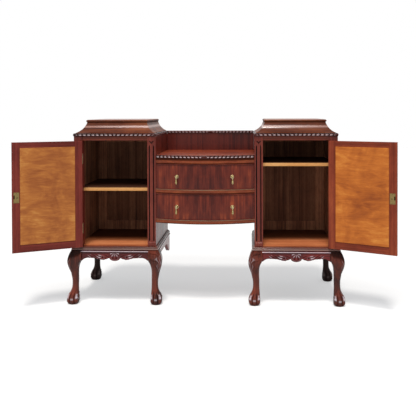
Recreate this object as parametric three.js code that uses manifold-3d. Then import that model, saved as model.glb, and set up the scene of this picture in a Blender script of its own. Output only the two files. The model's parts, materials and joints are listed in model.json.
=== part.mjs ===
// Twin-pedestal sideboard: two cupboards with coved tops, on cabriole legs with claw-and-ball
// feet, joined by a lower bowed section that holds two drawers. The doors stand open.
// Millimetres, +Z up, the front faces -Y. Pedestal pieces are drawn on the +X side and mirrored.
import * as THREE from 'three';
import { mergeVertices } from 'three/addons/utils/BufferGeometryUtils.js';
import Module from 'manifold-3d';

const wasm = await Module();
wasm.setup();

// Overall sizes, x from the middle, y back from the front of the top mouldings
const carcassOuter = 806; // half width over the outer sides
const carcassInner = 302; // half width of the centre section
const depth = 485; // from the front mouldings to the back
const faceY = 8; // front of posts and doors
const legHeight = 330; // floor to underside of the base boards
const seat = 0.3; // gap between pieces that rest on or against each other
const overrun = 5; // how far a cutting tool runs past what it cuts
const straightLimit = 1e-4; // an outline that turns by less than this angle runs straight on

// Base board of a pedestal, with a moulded edge on three sides and a raised floor
const baseEdge = 15; // how far the moulding stands out from the carcass
const baseThickness = 19;
const floorRise = 5; // step that the closed door stops against
const baseEdgeShares = [[0, 0.7], [0.14, 1], [0.5, 1], [0.58, 0.78], [0.72, 0.78], [0.9, 0.55], [1, 0.4]];

// Posts and their ornament
const postWidth = 51;
const postDepth = 50;
const stripWidth = 19; // raised strip between the two grooves
const grooveWidth = 7;
const grooveDepth = 4;
const grooveFoot = 36; // plain height below the grooves
const grooveHead = 64; // plain height above the grooves
const grooveTip = 12; // height of the pointed groove end
const chevronDrop = 29; // from the post's top to the tips of the chevron's arms
const chevronHeight = 18;
const chevronHalf = 15;
const chevronArm = 8;
const chevronDepth = 3;
const padWidth = 43;
const padHeight = 23;
const padProud = 3;
const padBevel = 2;
const padFoot = 5;

// Top of a pedestal: frieze, gadroon moulding, cove, neck and slab
const friezeHeight = 26;
const friezeSetback = 4;
const friezeDepth = 40;
const openingTop = 1000;
const gadroonHeight = 18;
const gadroonSide = 4; // how far the moulding stands out at the sides
const capPitch = 27; // length of a lobe on the pedestals
const centrePitch = 24; // length of a lobe on the centre section
const lobeDepth = 6;
const gadroonUnder = 4; // how far its lower edge draws in
const gadroonOver = 6; // how far its upper edge draws in
const coveFoot = 13; // inset of the cove at its foot
const coveTop = 68; // inset of the cove at its top
const coveHeight = 60;
const coveHollow = 9;
const coveSteps = 7;
const coveFillet = 2;
const neckHeight = 8;
const slabInset = 64;
const slabThickness = 13;
const slabRound = 3;

// Boards
const sideThickness = 18;
const backThickness = 12;
const backSetback = 3;
const backFrame = 62; // width of the frame round the back's sunk field
const backField = 5; // depth of the sunk field
const shelfThickness = 20;
const leftShelfTop = 708;
const rightShelfTop = 861;
const shelfGap = 4; // between the shelf's front edge and the closed door
const shelfPlay = 1;
const bearerWidth = 14;
const bearerHeight = 16;
const bearerSetback = 12;

// Doors
const doorThickness = 20;
const doorGap = 1.5;
const leftDoorAngle = THREE.MathUtils.degToRad(156.9);
const rightDoorAngle = THREE.MathUtils.degToRad(156);
const freeStile = 45;
const hingeStile = 43;
const topRail = 33;
const bottomRail = 45;
const rebateWidth = 8;
const rebateDepth = 9;
const panelProud = 2;
const beadWidth = 9;
const beadProud = 3;
const beadBevel = 2;

// Hinges: barrel in front of the door's face
const barrelRadius = 3.6;
const pinRadius = 1.8;
const pinPlay = 0.3;
const hingeHeight = 64;
const knuckleGap = 0.4;
const leafThickness = 2;
const leafWidth = 18;
const leafGap = 0.3;
const barrelForward = 4; // axis in front of the door's face
const hingeInset = 110; // hinge centre from the door's top or bottom

// Door lock
const lockHeight = 63;
const lockInset = 9; // from the door's free edge to the case
const lockWidth = 32;
const lockDepth = 12;
const boltHeight = 22;
const boltThickness = 7;
const boltLength = 26;
const boltThrow = 8;
const boltSetback = 0.4;
const strikePlay = 1;

// Legs, measured from the carcass corner: share of height, outward reach, inward reach
const legBlock = 50;
const legShares = [
  [0, 0.62, 0.68], [0.018, 0.7, 0.76], [0.06, 0.77, 0.82], [0.112, 0.77, 0.8], [0.167, 0.65, 0.76],
  [0.221, 0.38, 0.69], [0.276, 0.22, 0.66], [0.36, 0.16, 0.64], [0.442, 0.21, 0.62],
  [0.52, 0.33, 0.59], [0.606, 0.48, 0.6], [0.715, 0.68, 0.74], [0.794, 0.74, 0.94], [0.86, 0.68, 1],
  [1, 0.36, 1],
];
const legSides = 16;
const clawShare = 0.09; // how far the toes stand out from the ball
const clawTopShare = 0.2; // height of the foot
const toeCount = 4;
const kneeShare = 0.6; // height above which the section turns square
const roundPower = 2;
const squarePower = 7;

// Aprons between the legs
const apronThickness = 22;
const apronProud = 12; // how far the face stands out from the carcass
const apronDrop = 48; // depth of the plain part
const apronScroll = 11; // how much lower the carved scrolls reach
const apronShell = 19; // how much lower the centre shell reaches
const shellWidth = 64;
const scrollCentreShare = 1.15; // scroll from the middle, in shell widths
const scrollSpreadShare = 0.45;
const apronEarLength = 38; // part at each end that curves down to the leg
const apronEarReach = 55; // half axes of the ellipse that it follows
const apronEarHeight = 60;
const apronEarSteps = 4;
const apronBead = 11;
const apronBeadProud = 6;
const apronBeadSteps = 6;
const beadTopGap = 3;
const bracketDrop = 126; // drop of the inner apron at the back
const bracketLength = 150;
const bracketSteps = 10;
const apronSteps = 22;

// Centre section
const bow = 55; // how far the front swells in the middle
const bowSteps = 16;
const shelfTop = 911;
const topThickness = 18;
const railSetback = 3;
const railThickness = 22;
const topRailHeight = 33;
const midRailTop = 705;
const midRailHeight = 25;
const bottomRailTop = 521;
const bottomRailHeight = 24;
const dustBoard = 12;
const splashThickness = 22;
const splashHeight = 133;
const splashGadroonHeight = 16;
const splashGadroonProud = 7;
const centreBackThickness = 12;

// Drawers
const drawerPlay = 1.6;
const drawerSetback = 3;
const cockBead = 4;
const cockBeadProud = 2;
const drawerWall = 11;
const drawerBottom = 8;
const drawerSideGap = 5;
const drawerBackGap = 9;
const drawerBoxDrop = 22; // how far the box stops short of the front's top

// Drop pulls
const pullX = 168;
const roseRadius = 13;
const roseDepth = 4;
const roseShares = [[0, 0], [1, 0], [1, 0.25], [0.8, 1], [0.6, 0.7]]; // radius, depth
const bossRadius = 5;
const bossDepth = 8;
const bossFoot = 5.6; // where the boss starts, from the back of the plate
const stemRadius = 2.5;
const stemReach = 12; // pin axis from the drawer's face
const pinLength = 11;
const pullPin = 1.5;
const pullPlay = 0.3;
const earOuter = 3.6;
const earThickness = 2;
const earGap = 0.6;
const earDrop = 5;
const bridgeHeight = 3;
const budRadius = 6.8;
const budLength = 40;
const budShares = [
  [0, 0.3], [0.1, 0.22], [0.2, 0.5], [0.26, 0.3], [0.45, 0.72], [0.65, 1], [0.8, 0.86], [0.92, 0.4],
];
const roundSides = 14;
const smallSides = 10;

// Levels and lines worked out from the sizes above
const baseTop = legHeight + baseThickness;
const floorTop = baseTop + floorRise;
const friezeTop = openingTop + friezeHeight;
const openingInner = carcassInner + postWidth;
const openingOuter = carcassOuter - postWidth;
const gadroonTop = friezeTop + gadroonHeight;
const doorInnerX = openingInner + doorGap;
const doorOuterX = openingOuter - doorGap;
const doorBottom = baseTop + doorGap;
const doorTop = openingTop - doorGap;
const doorBack = faceY + doorThickness;
const postBack = faceY + postDepth;
const hingeX = openingOuter - doorGap / 2;
const hingeY = faceY - barrelForward;
const lockZ = (doorBottom + doorTop) / 2;
const boltY = doorBack - lockDepth / 2;
const backFront = depth - backSetback - backThickness;
const sideInnerFace = carcassInner + sideThickness;
const sideOuterFace = carcassOuter - sideThickness;
const splashFront = depth - splashThickness;
const centreBackFront = depth - backSetback - centreBackThickness;
const topUnder = shelfTop - topThickness;
const centreHalf = carcassInner - seat;

// Finishes
function finish(color, roughness, metalness = 0) {
  return () => new THREE.MeshStandardMaterial({ color, roughness, metalness });
}
const mahogany = finish(0x5a2417, 0.42);
const carved = finish(0x4a1d14, 0.45);
const flame = finish(0x6b2a18, 0.35);
const satinwood = finish(0xb9702c, 0.4);
const interior = finish(0x4b3022, 0.7);
const shelfWood = finish(0xb98a58, 0.6);
const brass = finish(0x8f7238, 0.38, 0.9);

// Solid of a closed geometry, turned the right way out
function solid(geometry) {
  const bare = geometry.clone();
  bare.deleteAttribute('normal');
  bare.deleteAttribute('uv');
  const merged = mergeVertices(bare);
  const triangles = Uint32Array.from(merged.index.array);
  const vertices = Float32Array.from(merged.attributes.position.array);
  if (signedVolume(vertices, triangles) < 0) {
    for (let i = 0; i < triangles.length; i += 3) {
      const first = triangles[i];
      triangles[i] = triangles[i + 1];
      triangles[i + 1] = first;
    }
  }
  return new wasm.Manifold(new wasm.Mesh({ numProp: 3, vertProperties: vertices, triVerts: triangles }));
}

function signedVolume(vertices, triangles) {
  let sum = 0;
  const corner = [new THREE.Vector3(), new THREE.Vector3(), new THREE.Vector3()];
  for (let i = 0; i < triangles.length; i += 3) {
    corner.forEach((point, k) => point.fromArray(vertices, 3 * triangles[i + k]));
    sum += corner[0].dot(corner[1].clone().cross(corner[2]));
  }
  return sum;
}

// Geometry of a solid
function skin(manifold) {
  const mesh = manifold.getMesh();
  const geometry = new THREE.BufferGeometry();
  geometry.setAttribute('position', new THREE.BufferAttribute(mesh.vertProperties, 3));
  geometry.setIndex(new THREE.BufferAttribute(mesh.triVerts, 1));
  geometry.computeVertexNormals();
  return geometry;
}

function join(...solids) {
  return solids.reduce((whole, next) => whole.add(next));
}

function cut(whole, ...tools) {
  return tools.reduce((rest, tool) => rest.subtract(tool), whole);
}

// Block between two corners
function block([x0, x1], [y0, y1], [z0, z1]) {
  const geometry = new THREE.BoxGeometry(x1 - x0, y1 - y0, z1 - z0);
  return solid(geometry.translate((x0 + x1) / 2, (y0 + y1) / 2, (z0 + z1) / 2));
}

// Round bar along Z
function barZ(x, y, [z0, z1], radius) {
  const geometry = new THREE.CylinderGeometry(radius, radius, z1 - z0, smallSides);
  return solid(geometry.rotateX(Math.PI / 2).translate(x, y, (z0 + z1) / 2));
}

// Loft through level outlines of equal length, each { z, points }
function stack(levels) {
  const count = levels[0].points.length;
  const positions = levels.flatMap(({ z, points }) => points.flatMap((p) => [p.x, p.y, z]));
  const index = [];
  for (let level = 0; level + 1 < levels.length; level += 1) {
    for (let i = 0; i < count; i += 1) {
      const a = level * count + i;
      const b = level * count + (i + 1) % count;
      index.push(a, b, b + count, a, b + count, a + count);
    }
  }
  const last = levels.length - 1;
  const ends = [[levels[0].points, 0, true], [levels[last].points, last * count, false]];
  for (const [points, start, flip] of ends) {
    const clockwise = THREE.ShapeUtils.isClockWise(points);
    const ordered = clockwise ? [...points].reverse() : points;
    for (const [a, b, c] of THREE.ShapeUtils.triangulateShape(ordered, [])) {
      const [i, j, k] = [a, b, c].map((n) => start + (clockwise ? count - 1 - n : n));
      index.push(...(flip === clockwise ? [i, j, k] : [i, k, j]));
    }
  }
  const geometry = new THREE.BufferGeometry();
  geometry.setAttribute('position', new THREE.Float32BufferAttribute(positions, 3));
  geometry.setIndex(index);
  return solid(geometry);
}

// The points at which an outline turns
function turns(points) {
  return points.filter((point, i) => {
    const before = points[(i + points.length - 1) % points.length];
    const after = points[(i + 1) % points.length];
    const into = point.clone().sub(before).normalize();
    return Math.abs(into.cross(after.clone().sub(point).normalize())) > straightLimit;
  });
}

// Outline points extruded upwards, backwards or sideways
function upright(points, [z0, z1]) {
  const outline = turns(points);
  return stack([{ z: z0, points: outline }, { z: z1, points: outline }]);
}

function extrude(points, length) {
  return new THREE.ExtrudeGeometry(new THREE.Shape(turns(points)), { depth: length, bevelEnabled: false });
}

// Outline in x and z, carried through [y0, y1]
function throughY(points, [y0, y1]) {
  return solid(extrude(points, y1 - y0).rotateX(Math.PI / 2).translate(0, y1, 0));
}

// Outline in y and z, carried through [x0, x1]
function throughX(points, [x0, x1]) {
  const turn = new THREE.Matrix4().makeBasis(
    new THREE.Vector3(0, 1, 0),
    new THREE.Vector3(0, 0, 1),
    new THREE.Vector3(1, 0, 0),
  );
  return solid(extrude(points, x1 - x0).applyMatrix4(turn).translate(x0, 0, 0));
}

function rectangle([x0, x1], [y0, y1]) {
  return [[x0, y0], [x1, y0], [x1, y1], [x0, y1]].map(([x, y]) => new THREE.Vector2(x, y));
}

// How far a gadroon's edge lies behind its lobes' crests, after a number of steps along it
const stepsPerLobe = 4;
function gadroonHollow(step) {
  return lobeDepth * (1 - Math.sin(Math.PI * (step % stepsPerLobe) / stepsPerLobe));
}

// Points of a gadroon edge strictly between start and end, its lobes swelling outwards
function gadroonRun(start, end, outward, lobes) {
  const points = [];
  for (let i = 1; i < lobes * stepsPerLobe; i += 1) {
    const point = start.clone().lerp(end, i / (lobes * stepsPerLobe));
    points.push(point.addScaledVector(outward, -gadroonHollow(i)));
  }
  return points;
}

// Levels of a gadroon moulding: its round section drawn in below and above
function gadroonLevels(outline, bottom, top) {
  return [
    { z: bottom, points: outline(gadroonUnder) },
    { z: (bottom + top) / 2, points: outline(0) },
    { z: top, points: outline(gadroonOver) },
  ];
}

// Moulded top of a pedestal: gadroon edge on three sides, then fillet, cove, neck and slab
function cap() {
  const inner = carcassInner - gadroonSide;
  const outer = carcassOuter + gadroonSide;
  const edge = (drawnIn) => {
    const [x0, x1] = [inner + drawnIn, outer - drawnIn];
    const places = [[x0, depth], [x0, drawnIn], [x1, drawnIn], [x1, depth]];
    const corners = places.map(([x, y]) => new THREE.Vector2(x, y));
    const outwards = [[-1, 0], [0, -1], [1, 0]].map(([x, y]) => new THREE.Vector2(x, y));
    const lengths = [depth, outer - inner, depth];
    return [
      ...outwards.flatMap((outward, i) => [
        corners[i],
        ...gadroonRun(corners[i], corners[i + 1], outward, Math.round(lengths[i] / capPitch)),
      ]),
      corners[3],
    ];
  };
  const ring = (inset, z) => ({ z, points: rectangle([inner + inset, outer - inset], [inset, depth]) });
  const coveBase = gadroonTop + coveFillet;
  const coveRings = [];
  for (let i = 0; i <= coveSteps; i += 1) {
    const t = i / coveSteps;
    const hollow = coveHollow * 4 * t * (1 - t) / Math.SQRT2;
    coveRings.push(ring(coveFoot + (coveTop - coveFoot) * t + hollow, coveBase + coveHeight * t - hollow));
  }
  const neckTop = coveBase + coveHeight + neckHeight;
  const slabTop = neckTop + slabThickness;
  return join(
    stack(gadroonLevels(edge, friezeTop, gadroonTop)),
    stack([
      ring(coveFoot, friezeTop + gadroonHeight / 2),
      ...coveRings,
      ring(coveTop, neckTop),
      ring(slabInset + slabRound, neckTop),
      ring(slabInset, neckTop + slabRound),
      ring(slabInset, slabTop - slabRound),
      ring(slabInset + slabRound, slabTop),
    ]),
  );
}

// Plain strip over the door, between the heads of the posts
function friezeRail() {
  return block(
    [openingInner + seat, openingOuter - seat],
    [faceY + friezeSetback, faceY + friezeSetback + friezeDepth],
    [openingTop, friezeTop - seat],
  );
}

// Front post with two grooves that end in points, a chevron over them and a pad at its foot
function post(inner, outer) {
  const bottom = baseTop + seat;
  const top = friezeTop - seat;
  const middle = (inner + outer) / 2;
  const grooves = [-1, 1].map((side) => {
    const near = middle + side * stripWidth / 2;
    const far = near + side * grooveWidth;
    const low = bottom + grooveFoot;
    const high = top - grooveHead;
    const outline = [[near, low], [far, low], [far, high], [near, high + grooveTip]];
    return throughY(outline.map(([x, z]) => new THREE.Vector2(x, z)), [faceY - overrun, faceY + grooveDepth]);
  });
  const tips = top - chevronDrop;
  const point = tips - chevronHeight;
  const crotch = point + chevronArm;
  const chevron = [
    [-chevronHalf, tips], [0, point], [chevronHalf, tips],
    [chevronHalf - chevronArm, tips], [0, crotch], [chevronArm - chevronHalf, tips],
  ].map(([x, z]) => new THREE.Vector2(middle + x, z));
  const padZ = bottom + padFoot;
  const half = padWidth / 2;
  const face = (inset, y) => ({
    z: y,
    points: rectangle(
      [middle - half + inset, middle + half - inset],
      [padZ + inset, padZ + padHeight - inset],
    ),
  });
  // The pad is stacked from its face backwards, then turned so that its height is upright
  const pad = stack([face(padBevel, padProud), face(0, padProud - padBevel), face(0, -overrun)])
    .rotate([90, 0, 0])
    .translate([0, faceY, 0]);
  const shaft = cut(
    block([inner, outer], [faceY, postBack], [bottom, top]),
    ...grooves,
    throughY(chevron, [faceY - overrun, faceY + chevronDepth]),
  );
  return join(shaft, pad);
}

// Post beside the centre section, with the mortise that takes the door's bolt
function postInner() {
  const mortise = block(
    [openingInner - boltThrow - strikePlay, openingInner + overrun],
    [boltY - boltThickness / 2 - strikePlay, boltY + boltThickness / 2 + strikePlay],
    [lockZ - boltHeight / 2 - strikePlay, lockZ + boltHeight / 2 + strikePlay],
  );
  return cut(post(carcassInner, openingInner), mortise);
}

// Centre heights of a door's two hinges
const hingeHeights = [doorBottom + hingeInset, doorTop - hingeInset];

// Hinge post, with a seat for each hinge leaf
function postOuter() {
  const seats = hingeHeights.map((z) => block(
    [openingOuter - overrun, hingeX + leafGap / 2 + leafThickness + seat],
    [faceY - overrun, faceY + leafWidth + 2 * seat],
    [z - hingeHeight / 2 - seat, z + hingeHeight / 2 + seat],
  ));
  return cut(post(openingOuter, carcassOuter), ...seats);
}

// Side board with the bearers that carry the shelf's ends
function sideBoard(inner, outer, bearerFace, shelfLevel) {
  const towards = Math.sign(bearerFace - (inner + outer) / 2);
  const bearer = [bearerFace - towards * overrun, bearerFace + towards * bearerWidth].sort((a, b) => a - b);
  return join(
    block([inner, outer], [postBack + seat, depth], [baseTop + seat, friezeTop - seat]),
    block(
      bearer,
      [postBack + bearerSetback, backFront - bearerSetback],
      [shelfLevel - shelfThickness - seat - bearerHeight, shelfLevel - shelfThickness - seat],
    ),
  );
}

// Framed back with one sunk field
function backPanel() {
  const left = sideInnerFace + seat;
  const right = sideOuterFace - seat;
  const bottom = floorTop + seat;
  const top = friezeTop - seat;
  return cut(
    block([left, right], [backFront, backFront + backThickness], [bottom, top]),
    block(
      [left + backFrame, right - backFrame],
      [backFront - overrun, backFront + backField],
      [bottom + backFrame, top - backFrame],
    ),
  );
}

// Base board: moulded edge on three sides, floor raised behind the door
function baseBoard() {
  const levels = baseEdgeShares.map(([height, reach]) => ({
    z: legHeight + height * baseThickness,
    points: rectangle(
      [carcassInner - reach * baseEdge, carcassOuter + reach * baseEdge],
      [faceY - reach * baseEdge, depth],
    ),
  }));
  const rise = [legHeight + baseThickness / 2, floorTop];
  return join(
    stack(levels),
    block([openingInner + seat, openingOuter - seat], [doorBack + doorGap / 2, depth], rise),
    block([sideInnerFace + seat, sideOuterFace - seat], [postBack + seat, depth], rise),
  );
}

// Shelf, notched round the posts
function shelf(level) {
  const front = doorBack + panelProud + shelfGap;
  const notch = postBack + shelfPlay;
  const left = sideInnerFace + shelfPlay;
  const right = sideOuterFace - shelfPlay;
  const outline = [
    [openingInner + shelfPlay, front], [openingOuter - shelfPlay, front],
    [openingOuter - shelfPlay, notch], [right, notch],
    [right, backFront - shelfPlay], [left, backFront - shelfPlay],
    [left, notch], [openingInner + shelfPlay, notch],
  ];
  return upright(outline.map(([x, y]) => new THREE.Vector2(x, y)), [level - shelfThickness, level]);
}

// Depth of an apron's carved lower edge between its ears, at a distance from its middle
function apronEdge(distance) {
  const scroll = Math.exp(-(((distance / shellWidth - scrollCentreShare) / scrollSpreadShare) ** 2));
  const petal = Math.sqrt(Math.max(0, 1 - (2 * distance / shellWidth) ** 2));
  return apronDrop + Math.max(apronScroll * scroll, apronShell * petal);
}

// How much lower an apron's ear reaches, after a number of steps from its level end
function apronEarDrop(step) {
  const past = apronEarLength * step / apronEarSteps;
  return apronEarHeight * (1 - Math.sqrt(1 - (past / apronEarReach) ** 2));
}

// Apron outline from one end to the other: straight top, carved lower edge with an ear at each end
function apronOutline(start, end) {
  const middle = (start + end) / 2;
  const top = legHeight - seat;
  const points = [new THREE.Vector2(end, top), new THREE.Vector2(start, top)];
  for (let i = 0; i < apronEarSteps; i += 1) {
    const at = start + apronEarLength * i / apronEarSteps;
    points.push(new THREE.Vector2(at, top - apronDrop - apronEarDrop(apronEarSteps - i)));
  }
  for (let i = 0; i <= apronSteps; i += 1) {
    const at = start + apronEarLength + (end - start - 2 * apronEarLength) * i / apronSteps;
    points.push(new THREE.Vector2(at, top - apronEdge(Math.abs(at - middle))));
  }
  for (let i = 1; i <= apronEarSteps; i += 1) {
    const at = end - apronEarLength + apronEarLength * i / apronEarSteps;
    points.push(new THREE.Vector2(at, top - apronDrop - apronEarDrop(i)));
  }
  return points;
}

// Round bead under the top of an apron, as a section whose face is at `face`
function beadSection(face, outward) {
  const top = legHeight - seat - beadTopGap;
  const points = [];
  for (let i = 0; i <= apronBeadSteps; i += 1) {
    const angle = Math.PI * i / apronBeadSteps;
    const reach = apronBeadProud * Math.sin(angle);
    points.push(new THREE.Vector2(face + outward * reach, top - apronBead * (1 - Math.cos(angle)) / 2));
  }
  const inside = face - outward * apronThickness / 2;
  return [...points, new THREE.Vector2(inside, top - apronBead), new THREE.Vector2(inside, top)];
}

function apronFront() {
  const ends = [carcassInner + legBlock + seat, carcassOuter - legBlock - seat];
  const face = faceY - apronProud;
  return join(
    throughY(apronOutline(...ends), [face, face + apronThickness]),
    throughX(beadSection(face, -1), ends),
  );
}

// Apron along the outer side, between the front and back legs
function apronOuter() {
  const ends = [faceY + legBlock + seat, depth - legBlock - seat];
  const face = carcassOuter + apronProud;
  return join(
    throughX(apronOutline(...ends), [face - apronThickness, face]),
    throughY(beadSection(face, 1), ends),
  );
}

// Apron along the inner side: it drops into a bracket at the back corner, where no leg stands
function apronInner() {
  const start = faceY + legBlock + seat;
  const top = legHeight - seat;
  const points = [new THREE.Vector2(depth, top), new THREE.Vector2(start, top)];
  for (let i = 0; i <= apronEarSteps; i += 1) {
    const at = start + apronEarLength * i / apronEarSteps;
    points.push(new THREE.Vector2(at, top - apronDrop - apronEarDrop(apronEarSteps - i)));
  }
  for (let i = 0; i <= bracketSteps; i += 1) {
    const at = depth - bracketLength + bracketLength * i / bracketSteps;
    const ease = THREE.MathUtils.smoothstep(i, 0, bracketSteps);
    points.push(new THREE.Vector2(at, top - THREE.MathUtils.lerp(apronDrop, bracketDrop, ease)));
  }
  const face = carcassInner - apronProud;
  return join(
    throughX(points, [face, face + apronThickness]),
    throughY(beadSection(face, -1), [start, depth]),
  );
}

// Cabriole leg at a carcass corner, reaching outwards along outX and outY
function leg(cornerX, cornerY, outX, outY) {
  const height = legHeight - seat;
  const levels = legShares.map(([share, outShare, inShare]) => {
    const centre = legBlock * (outShare - inShare) / 2;
    const half = legBlock * (outShare + inShare) / 2;
    const square = THREE.MathUtils.smoothstep(share, kneeShare, 1);
    const power = THREE.MathUtils.lerp(roundPower, squarePower, square);
    const toes = share > 0 && share < clawTopShare ? clawShare : 0;
    const points = [];
    for (let i = 0; i < legSides; i += 1) {
      const angle = 2 * Math.PI * i / legSides;
      const [c, s] = [Math.cos(angle), Math.sin(angle)];
      const swell = 1 - toes * Math.cos(toeCount * angle);
      const out = (v) => centre + Math.sign(v) * Math.abs(v) ** (2 / power) * half * swell;
      points.push(new THREE.Vector2(cornerX + outX * out(c), cornerY + outY * out(s)));
    }
    return { z: share * height, points };
  });
  return stack(levels);
}

// A door's joined frame in its closed place: rebated for the panel, beaded in front, with its
// hinge knuckles, and open where the lock is let in
function doorFrame() {
  const z = [doorBottom, doorTop];
  const seen = [
    [doorInnerX + freeStile, doorOuterX - hingeStile],
    [doorBottom + bottomRail, doorTop - topRail],
  ];
  const light = seen.map(([low, high]) => [low + rebateWidth, high - rebateWidth]);
  const grown = (ranges, by) => ranges.map(([low, high]) => [low - by, high + by]);
  const face = (ranges, by, y) => ({ z: -y, points: rectangle(...grown(ranges, by)) });
  const bead = stack([
    face(light, beadWidth - beadBevel, faceY - beadProud),
    face(light, beadWidth, faceY - beadProud + beadBevel),
    face(light, beadWidth, faceY + overrun),
  ]).rotate([90, 0, 0]);
  const frame = cut(
    join(block([doorInnerX, doorOuterX], [faceY, doorBack], z), bead),
    block(light[0], [faceY - overrun, doorBack + overrun], light[1]),
    block(seen[0], [doorBack - rebateDepth, doorBack + overrun], seen[1]),
    lockCase(seat, overrun),
    boltWay([doorInnerX - overrun, doorInnerX + lockInset]),
  );
  return join(frame, ...hingeHeights.map(doorKnuckle));
}

// Case of the lock, let in from the door's inner face
function lockCase(grow, open) {
  return block(
    [doorInnerX + lockInset - grow, doorInnerX + lockInset + lockWidth + grow],
    [doorBack - lockDepth - grow, doorBack + open],
    [lockZ - lockHeight / 2 - grow, lockZ + lockHeight / 2 + grow],
  );
}

// Space that the bolt slides in
function boltWay(x) {
  return block(
    x,
    [boltY - boltThickness / 2 - seat, boltY + boltThickness / 2 + seat],
    [lockZ - boltHeight / 2 - seat, lockZ + boltHeight / 2 + seat],
  );
}

function doorPanel() {
  return block(
    [doorInnerX + freeStile + seat, doorOuterX - hingeStile - seat],
    [doorBack - rebateDepth + seat, doorBack + panelProud],
    [doorBottom + bottomRail + seat, doorTop - topRail - seat],
  );
}

function doorLock() {
  return cut(lockCase(0, 0), boltWay([doorInnerX, doorInnerX + boltSetback + boltLength + 2 * seat]));
}

function lockBolt() {
  return block(
    [doorInnerX + boltSetback, doorInnerX + boltSetback + boltLength],
    [boltY - boltThickness / 2, boltY + boltThickness / 2],
    [lockZ - boltHeight / 2, lockZ + boltHeight / 2],
  );
}

const knuckleLength = (hingeHeight - 2 * knuckleGap) / 3;

// Middle knuckle of a hinge, joined to the door's edge
function doorKnuckle(z) {
  const span = [z - knuckleLength / 2, z + knuckleLength / 2];
  const bore = barZ(hingeX, hingeY, [span[0] - overrun, span[1] + overrun], pinRadius + pinPlay);
  const web = block(
    [hingeX - leafGap / 2 - leafThickness, hingeX - leafGap / 2],
    [hingeY, faceY + leafWidth / 2],
    span,
  );
  return cut(join(barZ(hingeX, hingeY, span, barrelRadius), web), bore);
}

// Post half of a hinge: leaf, two outer knuckles and the pin through all three
function hingeLeaf(z) {
  const low = z - hingeHeight / 2;
  const high = z + hingeHeight / 2;
  const leafX = [hingeX + leafGap / 2, hingeX + leafGap / 2 + leafThickness];
  const knuckles = [[low, low + knuckleLength], [high - knuckleLength, high]].flatMap((span) => [
    barZ(hingeX, hingeY, span, barrelRadius),
    block(leafX, [hingeY, faceY + leafWidth / 2], span),
  ]);
  return join(
    block(leafX, [faceY + seat, faceY + leafWidth], [low, high]),
    barZ(hingeX, hingeY, [low, high], pinRadius),
    ...knuckles,
  );
}

// Front line of the bowed centre section
const bowRadius = (carcassInner ** 2 + bow ** 2) / (2 * bow);
function bowY(x) {
  return faceY - (Math.sqrt(bowRadius ** 2 - x ** 2) - (bowRadius - bow));
}

function bowPoints(half, setback) {
  const points = [];
  for (let i = 0; i <= bowSteps; i += 1) {
    const x = -half + 2 * half * i / bowSteps;
    points.push(new THREE.Vector2(x, bowY(x) + setback));
  }
  return points;
}

// Board with a bowed front and a straight back, or a strip of even thickness
function bowBoard(half, setback, back, z) {
  const ends = [new THREE.Vector2(half, back), new THREE.Vector2(-half, back)];
  return upright([...bowPoints(half, setback), ...ends], z);
}

function bowStrip(half, setback, thickness, z) {
  return upright([...bowPoints(half, setback), ...bowPoints(half, setback + thickness).reverse()], z);
}

// Top board of the centre with a gadroon front edge
function centreTop() {
  const steps = Math.round(2 * carcassInner / centrePitch) * stepsPerLobe;
  const edge = (drawnIn) => {
    const points = [];
    for (let i = 0; i <= steps; i += 1) {
      const x = centreHalf * (2 * i / steps - 1);
      points.push(new THREE.Vector2(x, bowY(x) + gadroonHollow(i) + drawnIn));
    }
    const back = splashFront - seat;
    return [...points, new THREE.Vector2(centreHalf, back), new THREE.Vector2(-centreHalf, back)];
  };
  return stack(gadroonLevels(edge, topUnder, shelfTop));
}

// Board fixed behind the centre top's back edge, with a gadroon along its upper edge
function splashback() {
  const top = shelfTop + splashHeight;
  // Its upper part fits between the mouldings of the pedestals, which stand out sideways
  const upperHalf = centreHalf - gadroonSide;
  const edge = (drawnIn) => {
    const y = splashFront - splashGadroonProud + drawnIn;
    const ends = [-upperHalf, upperHalf].map((x) => new THREE.Vector2(x, y));
    const lobes = Math.round(2 * upperHalf / centrePitch);
    return [
      ends[0],
      ...gadroonRun(ends[0], ends[1], new THREE.Vector2(0, -1), lobes),
      ends[1],
      new THREE.Vector2(upperHalf, depth),
      new THREE.Vector2(-upperHalf, depth),
    ];
  };
  return join(
    block([-centreHalf, centreHalf], [splashFront, depth], [topUnder, friezeTop - seat]),
    block([-upperHalf, upperHalf], [splashFront, depth], [topUnder, top - splashGadroonHeight / 2]),
    stack(gadroonLevels(edge, top - splashGadroonHeight, top)),
  );
}

function centreTopRail() {
  return bowStrip(centreHalf, railSetback, railThickness, [topUnder - topRailHeight, topUnder - seat]);
}

// Rail with the dust board behind it that carries the drawer above
function railBoard(top, height) {
  return join(
    bowStrip(centreHalf, railSetback, railThickness, [top - height, top]),
    bowBoard(centreHalf, railSetback + railThickness / 2, centreBackFront - seat, [top - dustBoard, top]),
  );
}

function centreBack() {
  return block(
    [-centreHalf, centreHalf],
    [centreBackFront, centreBackFront + centreBackThickness],
    [bottomRailTop - bottomRailHeight, topUnder - seat],
  );
}

// Clear height of each drawer's opening
const drawerOpenings = {
  upper: [midRailTop, topUnder - topRailHeight],
  lower: [bottomRailTop, midRailTop - midRailHeight],
};
const drawerHalf = carcassInner - drawerPlay;
const drawerFace = railSetback + drawerSetback;

// Bowed drawer front with a bead standing proud round its edge
function drawerFront([low, high]) {
  const z = [low + drawerPlay, high - drawerPlay];
  const bead = cut(
    bowStrip(drawerHalf, drawerFace - cockBeadProud, railThickness / 2, z),
    bowBoard(drawerHalf - cockBead, -bow, depth, [z[0] + cockBead, z[1] - cockBead]),
  );
  return join(bowStrip(drawerHalf, drawerFace, railThickness, z), bead);
}

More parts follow.
